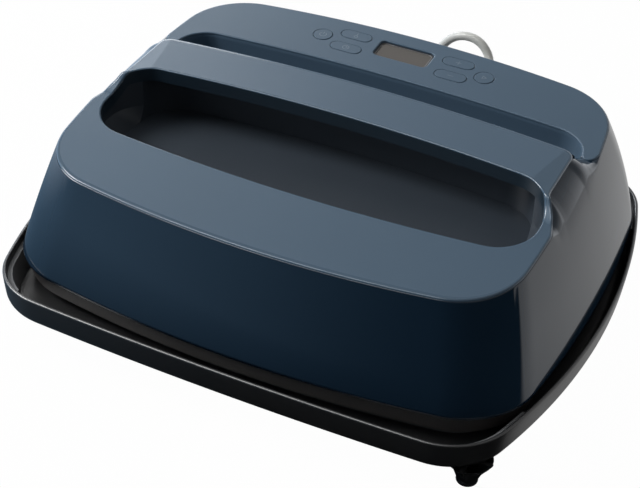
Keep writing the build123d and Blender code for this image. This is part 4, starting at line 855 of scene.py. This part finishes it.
def make_groove():
    """The thumb groove: a tub with a rounded floor edge under the bar, the shell and the panel."""
    half = groove_outline()
    side = half[(behind(*half.T) > GRIP_REAR) & (half[:, 1] > BAND_END)]
    xs = np.linspace(0.0, GROOVE[0][0], 60)
    loop = mirrored(np.vstack([np.column_stack([xs, on_bar(xs, GRIP_REAR)]), side]))
    inward = normals_toward(loop, (0, 1))
    x, y = loop.T
    under_bar = top_height(x, on_bar(x, GRIP_REAR - 1.0)) - UNDER_BAR
    under_rest = np.where(y < SHELL_END, skin_height(x, y) - UNDER_SHELL, panel_height(y) - UNDER_PANEL)
    under = np.where(behind(x, y) < GRIP_REAR + 0.3, under_bar, under_rest)
    bend_z = GROOVE_FLOOR + GROOVE_ROUND
    rows = [with_z(loop - inward * 0.25, under), with_z(loop, under - 0.5)]
    for f in np.linspace(0.2, 0.9, 4):
        rows.append(with_z(loop, (under - 0.5) * (1 - f) + bend_z * f))
    for t in np.linspace(0, QUARTER_TURN, 8):
        level = bend_z - GROOVE_ROUND * math.sin(t)
        rows.append(with_z(loop + inward * GROOVE_ROUND * (1 - math.cos(t)), level))
    middle = np.column_stack([x * 0.96, on_bar(x * 0.96, GRIP_REAR + GROOVE_MIDDLE)])
    rows.append(with_z(middle, GROOVE_FLOOR))
    return grid_mesh("thumb_groove_tub", rows)


def button_loop(kind, x, y, gap=0.0):
    """A button's outline, or with a gap the hole that it moves in."""
    if kind == "round":
        return circle(x, y, ROUND_RADIUS + gap)
    return rounded_box(x, y, PILL_LENGTH + 2 * gap, PILL_WIDTH + 2 * gap, PILL_WIDTH / 2 + gap, 12)


def make_buttons():
    """Caps with a crowned rim and generic raised marks; each rides on its own body."""
    for name, (kind, x, y, mark) in BUTTONS.items():
        cap = plate(f"{name}_cap", [button_loop(kind, x, y)], CAP_DEPTH, [CAP_EDGE], sunk=-CAP_RISE)
        dress(cap, name, "slate_satin", name)
        for i, loops in enumerate(mark_loops(mark, x, y)):
            edges = [MARK_EDGE] * len(loops)
            raised = plate(f"{name}_mark_{i}", loops, MARK_DEPTH, edges, sunk=-MARK_RISE, steps=2)
            dress(raised, name, "mark_pale")


def arc_band(cx, cy, radius, width, a0, a1, count=26):
    a = np.linspace(math.radians(a0), math.radians(a1), count)
    ring = [np.column_stack([cx + r * np.cos(a), cy + r * np.sin(a)])
            for r in (radius + width / 2, radius - width / 2)]
    return np.vstack([ring[0], ring[1][::-1]])


def stroke(cx, cy, length, width):
    return rounded_box(cx, cy, length, width, min(length, width) / 2 - 0.02, 5)


def mark_loops(kind, x, y):
    """Loops of a generic symbol's parts: power, thermometer, clock face, plus, minus or start."""
    w = 0.45
    if kind == "power":
        return [[arc_band(x, y, 2.2, w, 125, 415)], [stroke(x, y + 1.7, w, 2.4)]]
    if kind == "thermometer":
        bulb = [circle(x, y - 1.2, 1.35, 28), circle(x, y - 1.2, 0.85, 24)]
        return [bulb, [stroke(x, y + 1.3, w, 2.9)]]
    if kind == "clock":
        return [[circle(x, y, 2.3, 36), circle(x, y, 1.85, 32)], [stroke(x, y + 0.6, w, 1.6)],
                [stroke(x + 0.65, y, 1.5, w)]]
    if kind == "plus":
        return [[stroke(x, y, 3.8, w)], [stroke(x, y + 1.1, w, 1.55)], [stroke(x, y - 1.1, w, 1.55)]]
    if kind == "minus":
        return [[stroke(x, y, 3.8, w)]]
    triangle = np.array([(x - 1.3, y - 1.7), (x + 1.9, y), (x - 1.3, y + 1.7)])
    mid = triangle.mean(axis=0)
    return [[triangle, mid + (triangle - mid) * 0.62]]


def make_display():
    """Dark surround behind the window's edge, and the grey screen in it."""
    outer = rounded_box(0, DISPLAY_V, *SURROUND)
    inner = rounded_box(0, DISPLAY_V, *SCREEN)
    surround = plate("display_surround", [outer, inner], 1.0, [(0.05, 0.05), (0.5, 0.35)], sunk=1.3)
    dress(surround, "press", "tray_black")
    screen = plate("display_screen", [inner], 1.0, [(0.1, 0.05)], sunk=1.6)
    dress(screen, "press", "display_glass", "display_lens")


# Safety base: tray with a rounded rim, on four finned legs

TRAY_LOW, TRAY_RIM, TRAY_FLOOR = 17.0, 37.0, 19.5
TRAY_TAPER, TRAY_WALL = 1.5, 2.6
FOOT_ROUND, RIM_ROUND, FLOOR_ROUND = 7.0, 1.25, 4.5
MIDDLE_INSET = 30.0
LEGS = {"front_left": (-144.1, -112.15), "front_right": (144.1, -129.15),
        "back_left": (-144.1, 129.15), "back_right": (144.1, 129.15)}
LEG_PROFILE = ((5.0, 4.0), (6.2, 4.0), (6.4, 4.3), (8.2, 9.0), (9.9, 14.0), (10.5, 15.6), (11.6, 16.6),
               (13.2, 17.05))
FIN_OUTLINE = ((5.6, 6.0), (6.6, 6.4), (13.2, 16.4), (13.6, 17.2), (5.6, 17.2))
FIN_LAYERS = ((-1.1, 0.25), (-0.85, 0.0), (0.85, 0.0), (1.1, 0.25))


def tray_section():
    """The tray's section as (inset, z), from under its middle, over the rim, to the floor's middle."""
    section = [(MIDDLE_INSET, TRAY_LOW)]
    for t in np.linspace(-QUARTER_TURN, 0, 9):
        inset = TRAY_TAPER + FOOT_ROUND - FOOT_ROUND * math.cos(t) - 0.35 * (1 + math.sin(t))
        section.append((inset, TRAY_LOW + FOOT_ROUND + FOOT_ROUND * math.sin(t)))
    lean = TRAY_TAPER / (TRAY_RIM - TRAY_LOW)
    section.append((lean * 6, TRAY_RIM - 6))
    for t in np.linspace(0, HALF_TURN, 11):
        inset = 0.1 + RIM_ROUND - RIM_ROUND * math.cos(t)
        section.append((inset, TRAY_RIM - RIM_ROUND + RIM_ROUND * math.sin(t)))
    section.append((TRAY_WALL + lean * 8, TRAY_RIM - 8))
    for t in np.linspace(0, QUARTER_TURN, 7):
        inset = TRAY_WALL + TRAY_TAPER + FLOOR_ROUND * (1 - math.cos(t)) - 0.25
        section.append((inset, TRAY_FLOOR + FLOOR_ROUND - FLOOR_ROUND * math.sin(t)))
    return section + [(MIDDLE_INSET, TRAY_FLOOR)]


def make_tray():
    loops = []
    for inset, z in tray_section():
        half = outline(TRAY, stations(26, 22, 22, 22, 22, 26), -inset)
        loops.append(mirrored(with_z(half, z)))
    caps = [cap[::-1] for cap in end_caps(len(loops), len(loops[0]))]
    tray = grid_mesh("tray_shell", loops, faces=caps)
    for face in tray.data.polygons:
        face.use_smooth = len(face.vertices) <= 4
    dress(tray, "safety_base", "tray_black", "base_tray")
    for name, place in LEGS.items():
        make_leg(f"leg_{name}", *place)


def make_leg(name, cx, cy):
    """A tapered post with a fillet at its root, and four fins."""
    count = 40
    loops = [with_z(circle(cx, cy, r, count), z) for r, z in LEG_PROFILE]
    post = grid_mesh(name, loops, faces=[tuple(range(count))])
    dress(post, "safety_base", "tray_black")
    n = len(FIN_OUTLINE)
    faces = ring_quads(4, n) + end_caps(4, n)
    for i in range(4):
        c, s = math.cos(i * QUARTER_TURN), math.sin(i * QUARTER_TURN)
        points = []
        for w, shrink in FIN_LAYERS:
            for u, z in FIN_OUTLINE:
                u -= shrink if u > 6.0 else 0.0
                z += shrink if z < 7.0 else 0.0
                points.append((cx + u * c - w * s, cy + u * s + w * c, z))
        fin = mesh_object(f"{name}_fin_{i}", points, faces)
        fin.data.set_sharp_from_angle(angle=math.radians(35))
        dress(fin, "safety_base", "tray_black")


# Free cord

CORD_START = ((32.11, 167.43, 67.39), (32.77, 182.81, 71.76), (21.5, 187.0, 86.8), (3.5, 187.5, 87.0),
              (-10.0, 190.0, 72.0), (-15.0, 190.0, 48.0), (-20.0, 186.0, 24.0), (-33.0, 181.1, 7.1),
              (-47.0, 178.1, 4.1), (-56.0, 178.1, 4.1))
COIL_X, COIL_Y = -62.0, 226.0
COIL_LOW, COIL_HIGH = 4.1, 10.7
COIL_POINTS = 8
LOWER_RADII = [47.9 - 3.3 * k for k in range(9)]
UPPER_RADII = [21.5, 21.5, 24.8, 28.1, 31.4, 34.7, 38.0]
LEAD_Y, LEAD_RUN = 188.0, (6.0, 30.0, 60.0)
CORD_RADIUS, CORD_SIDES = 0.003, 18


def coil_layer(radii, first_turn, heights):
    """Control points of a layer of the coil: half a turn from each radius to the next."""
    spread = 1.0 / math.cos(HALF_TURN / (2 * COIL_POINTS))
    points = []
    for k in range(len(radii) - 1):
        for j in range(COIL_POINTS):
            f = (j + 0.5) / COIL_POINTS
            turn = (first_turn + k) * HALF_TURN + (j + 0.5) * HALF_TURN / COIL_POINTS
            r = (radii[k] + (radii[k + 1] - radii[k]) * f) * spread
            x, y = COIL_X - r * math.sin(turn), COIL_Y - r * math.cos(turn)
            points.append(Vector((x, y, heights(k, f))))
    return points


def cord_route():
    """The free run, the coil's control points and the straight lead to the plug."""

    def climbing(k, f):
        if k > 0:
            return COIL_HIGH
        return COIL_LOW + (COIL_HIGH - COIL_LOW) * (0.5 - 0.5 * math.cos(HALF_TURN * f))

    points = [Vector(p) for p in CORD_START]
    points += coil_layer(LOWER_RADII, 0, lambda k, f: COIL_LOW)
    points += coil_layer(UPPER_RADII, len(LOWER_RADII) - 1, climbing)
    points += [Vector((COIL_X - run, LEAD_Y, COIL_HIGH)) for run in LEAD_RUN]
    return [p * MM for p in points]


def spline_line(points):
    """Points along the route's own NURBS spline."""
    data = bpy.data.curves.new("route", "CURVE")
    data.dimensions = "3D"
    data.resolution_u = 6
    spline = data.splines.new("NURBS")
    spline.points.add(len(points) - 1)
    for point, at in zip(spline.points, points):
        point.co = (*at, 1.0)
    spline.order_u = 3
    spline.use_endpoint_u = True
    holder = add_object("route", data)
    bpy.context.view_layer.update()
    mesh = bpy.data.meshes.new_from_object(holder)
    line = np.array([v.co[:] for v in mesh.vertices])
    bpy.data.objects.remove(holder)
    bpy.data.curves.remove(data)
    bpy.data.meshes.remove(mesh)
    return line


def make_cord():
    line = spline_line(cord_route())
    tangent = unit(np.gradient(line, axis=0))
    side = unit(np.cross(tangent[0], (0.0, 0.0, 1.0)))
    a = linspace(0, FULL_TURN, CORD_SIDES)
    rows = []
    for p, t in zip(line, tangent):
        side = unit(side - t * np.dot(side, t))
        other = np.cross(t, side)
        rows.append((p + CORD_RADIUS * (np.cos(a)[:, None] * side + np.sin(a)[:, None] * other)) / MM)
    tube = grid_mesh("free_cord", rows, faces=end_caps(len(rows), CORD_SIDES))
    tube.data.materials.append(MAT["cord_offwhite"])
    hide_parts("power_cord", "cord_coil")
    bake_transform(tube)


make_cord()
dress(make_skin(), "press", "gloss_navy", "housing")
dress(make_groove(), "press", "slate_satin", "groove_liner")
cover = dress(make_cover(), "press", "slate_satin", "top_cover")
# Second material: the darker slate as painted shade on the mouth's wall; third: the glossier rounded
# edges
cover.data.materials.append(MAT["painted_shade_slate"])
cover.data.materials.append(MAT["slate_edge"])
dress(make_panel(), "press", "slate_satin", "control_panel")
make_buttons()
make_display()
make_tray()


# Floor, light and world. Gloss mirrors soft glows round the horizon, a dim sky and two softboxes

# Axis, where the glow starts and is full along it, and its colour
GLOWS = (
    ((0.95, 0.30, 0.0), -0.02, 0.30, (0.75, 0.75, 0.75)),
    ((-0.60, 0.80, 0.0), 0.14, 0.36, (0.55, 0.58, 0.63)),
    ((-1.00, 0.00, 0.0), -0.05, 0.75, (0.30, 0.49, 0.70)),
)
DARK_CORNER = ((-0.39, 0.92, 0.0), -0.175, -0.145)
OVERHEAD = ((0.42, 0.80, 0.42), -0.75, 0.60, (0.02, 0.36))
CLIMB = ((0.0, 0.0, 1.0), 0.0, 0.70)
HORIZON_REACH = 0.95
SOFTBOXES = ((-0.58, -0.31, 0.75), (-0.30, -0.36, 0.88))
SOFTBOX_EDGE, SOFTBOX_LEVEL = (0.93, 0.985), 4.8
WHITE = (1.0, 1.0, 1.0, 1.0)
FLOOR_RADIUS, FLOOR_Y, FLOOR_SIDES = 0.95, 0.05, 64
FLOOR_GREY, FLOOR_ROUGH, FLOOR_WHITE = 0.62, 0.9, 0.985


def glow_toward(source, axis, start, end, levels=(0.0, 1.0)):
    """A level that rises smoothly along an axis."""
    toward = add_node(source.id_data, "ShaderNodeVectorMath", operation="DOT_PRODUCT")
    toward.inputs[1].default_value = axis
    join(source, toward.inputs[0])
    rise = add_node(source.id_data, "ShaderNodeMapRange", interpolation_type="SMOOTHSTEP",
                    From_Min=start, From_Max=end, To_Min=levels[0], To_Max=levels[1])
    join(toward.outputs["Value"], rise.inputs["Value"])
    return rise.outputs["Result"]


def combined(kind, operation, first, second):
    """The result of a maths node with two links."""
    made = add_node(first.id_data, kind, operation=operation)
    join(first, made.inputs[0])
    join(second, made.inputs[1])
    return made.outputs[0]


def color_mix(factor):
    mix = add_node(factor.id_data, "ShaderNodeMix", data_type="RGBA")
    join(factor, mix.inputs[0])
    return mix.inputs[6], mix.inputs[7], mix.outputs[2]


def surroundings(source):
    """What the glossy shell mirrors: a bright side with a dark corner, and two fainter sides."""
    total = None
    for axis, start, end, color in GLOWS:
        level = glow_toward(source, axis, start, end)
        if total is None:
            corner = glow_toward(source, *DARK_CORNER)
            level = combined("ShaderNodeMath", "MULTIPLY", level, corner)
        tint = add_node(source.id_data, "ShaderNodeVectorMath", operation="SCALE")
        tint.inputs[0].default_value = color
        join(level, tint.inputs["Scale"])
        glow = tint.outputs["Vector"]
        total = glow if total is None else combined("ShaderNodeVectorMath", "ADD", total, glow)
    return total


def make_floor():
    """A pale disc: near white to the camera with the object's shadow, and the glows to gloss."""
    mesh = bpy.data.meshes.new("floor")
    rim = with_z(circle(0.0, FLOOR_Y, FLOOR_RADIUS, FLOOR_SIDES), 0.0)
    mesh.from_pydata([tuple(p) for p in rim], [], [tuple(range(FLOOR_SIDES))])
    floor = add_object("floor", mesh)
    s = Shader("floor")
    s.bsdf.inputs["Base Color"].default_value = (FLOOR_GREY, FLOOR_GREY, FLOOR_GREY, 1.0)
    s.bsdf.inputs["Roughness"].default_value = FLOOR_ROUGH
    path = s.node("ShaderNodeLightPath")
    weight = s.node("ShaderNodeMath", operation="MULTIPLY")
    weight.inputs[1].default_value = FLOOR_WHITE
    join(path.outputs["Is Camera Ray"], weight.inputs[0])
    glow = s.node("ShaderNodeEmission", Strength=1.0)
    mirror = s.node("ShaderNodeEmission")
    join(surroundings(s.node("ShaderNodeTexCoord").outputs["Object"]), mirror.inputs["Color"])
    shown = s.bsdf.outputs["BSDF"]
    for factor, other in ((weight.outputs[0], glow), (path.outputs["Is Glossy Ray"], mirror)):
        mix = s.node("ShaderNodeMixShader")
        join(factor, mix.inputs[0])
        join(shown, mix.inputs[1])
        join(other.outputs["Emission"], mix.inputs[2])
        shown = mix.outputs[0]
    join(shown, s.tree.nodes["Material Output"].inputs["Surface"])
    mesh.materials.append(s.material)


def make_world():
    """White to the camera, a soft sky to the rest, and two softboxes that only gloss shows."""
    world = bpy.data.worlds.new("world")
    bpy.context.scene.world = world
    world.use_nodes = True
    tree = world.node_tree
    direction = add_node(tree, "ShaderNodeTexCoord").outputs["Generated"]
    path = add_node(tree, "ShaderNodeLightPath")
    far = add_node(tree, "ShaderNodeVectorMath", operation="SCALE", Scale=HORIZON_REACH)
    join(direction, far.inputs[0])
    low, high, sky = color_mix(glow_toward(direction, *CLIMB))
    join(surroundings(far.outputs["Vector"]), low)
    join(glow_toward(direction, *OVERHEAD), high)
    for axis in SOFTBOXES:
        lobe = glow_toward(direction, axis, *SOFTBOX_EDGE, (0.0, SOFTBOX_LEVEL))
        seen = combined("ShaderNodeMath", "MULTIPLY", lobe, path.outputs["Is Glossy Ray"])
        sky = combined("ShaderNodeVectorMath", "ADD", sky, seen)
    lit, seen, shown = color_mix(path.outputs["Is Camera Ray"])
    join(sky, lit)
    seen.default_value = WHITE
    join(shown, tree.nodes["Background"].inputs["Color"])


def area_lamp(name, place, aim, energy, size=0.6):
    data = bpy.data.lights.new(name, "AREA")
    data.shape = "RECTANGLE"
    data.size, data.size_y = size, size
    data.energy = energy
    lamp = add_object(name, data)
    lamp.location = place
    lamp.rotation_euler = (Vector(aim) - Vector(place)).to_track_quat("-Z", "Y").to_euler()


make_floor()
make_world()
area_lamp("key", (-1.15, -0.35, 0.95), (0.0, 0.0, 0.05), 20.0)
area_lamp("rim", (-0.95, 1.05, 0.62), (0.0, 0.0, 0.08), 5.5)

bpy.context.scene.view_settings.view_transform = "Standard"
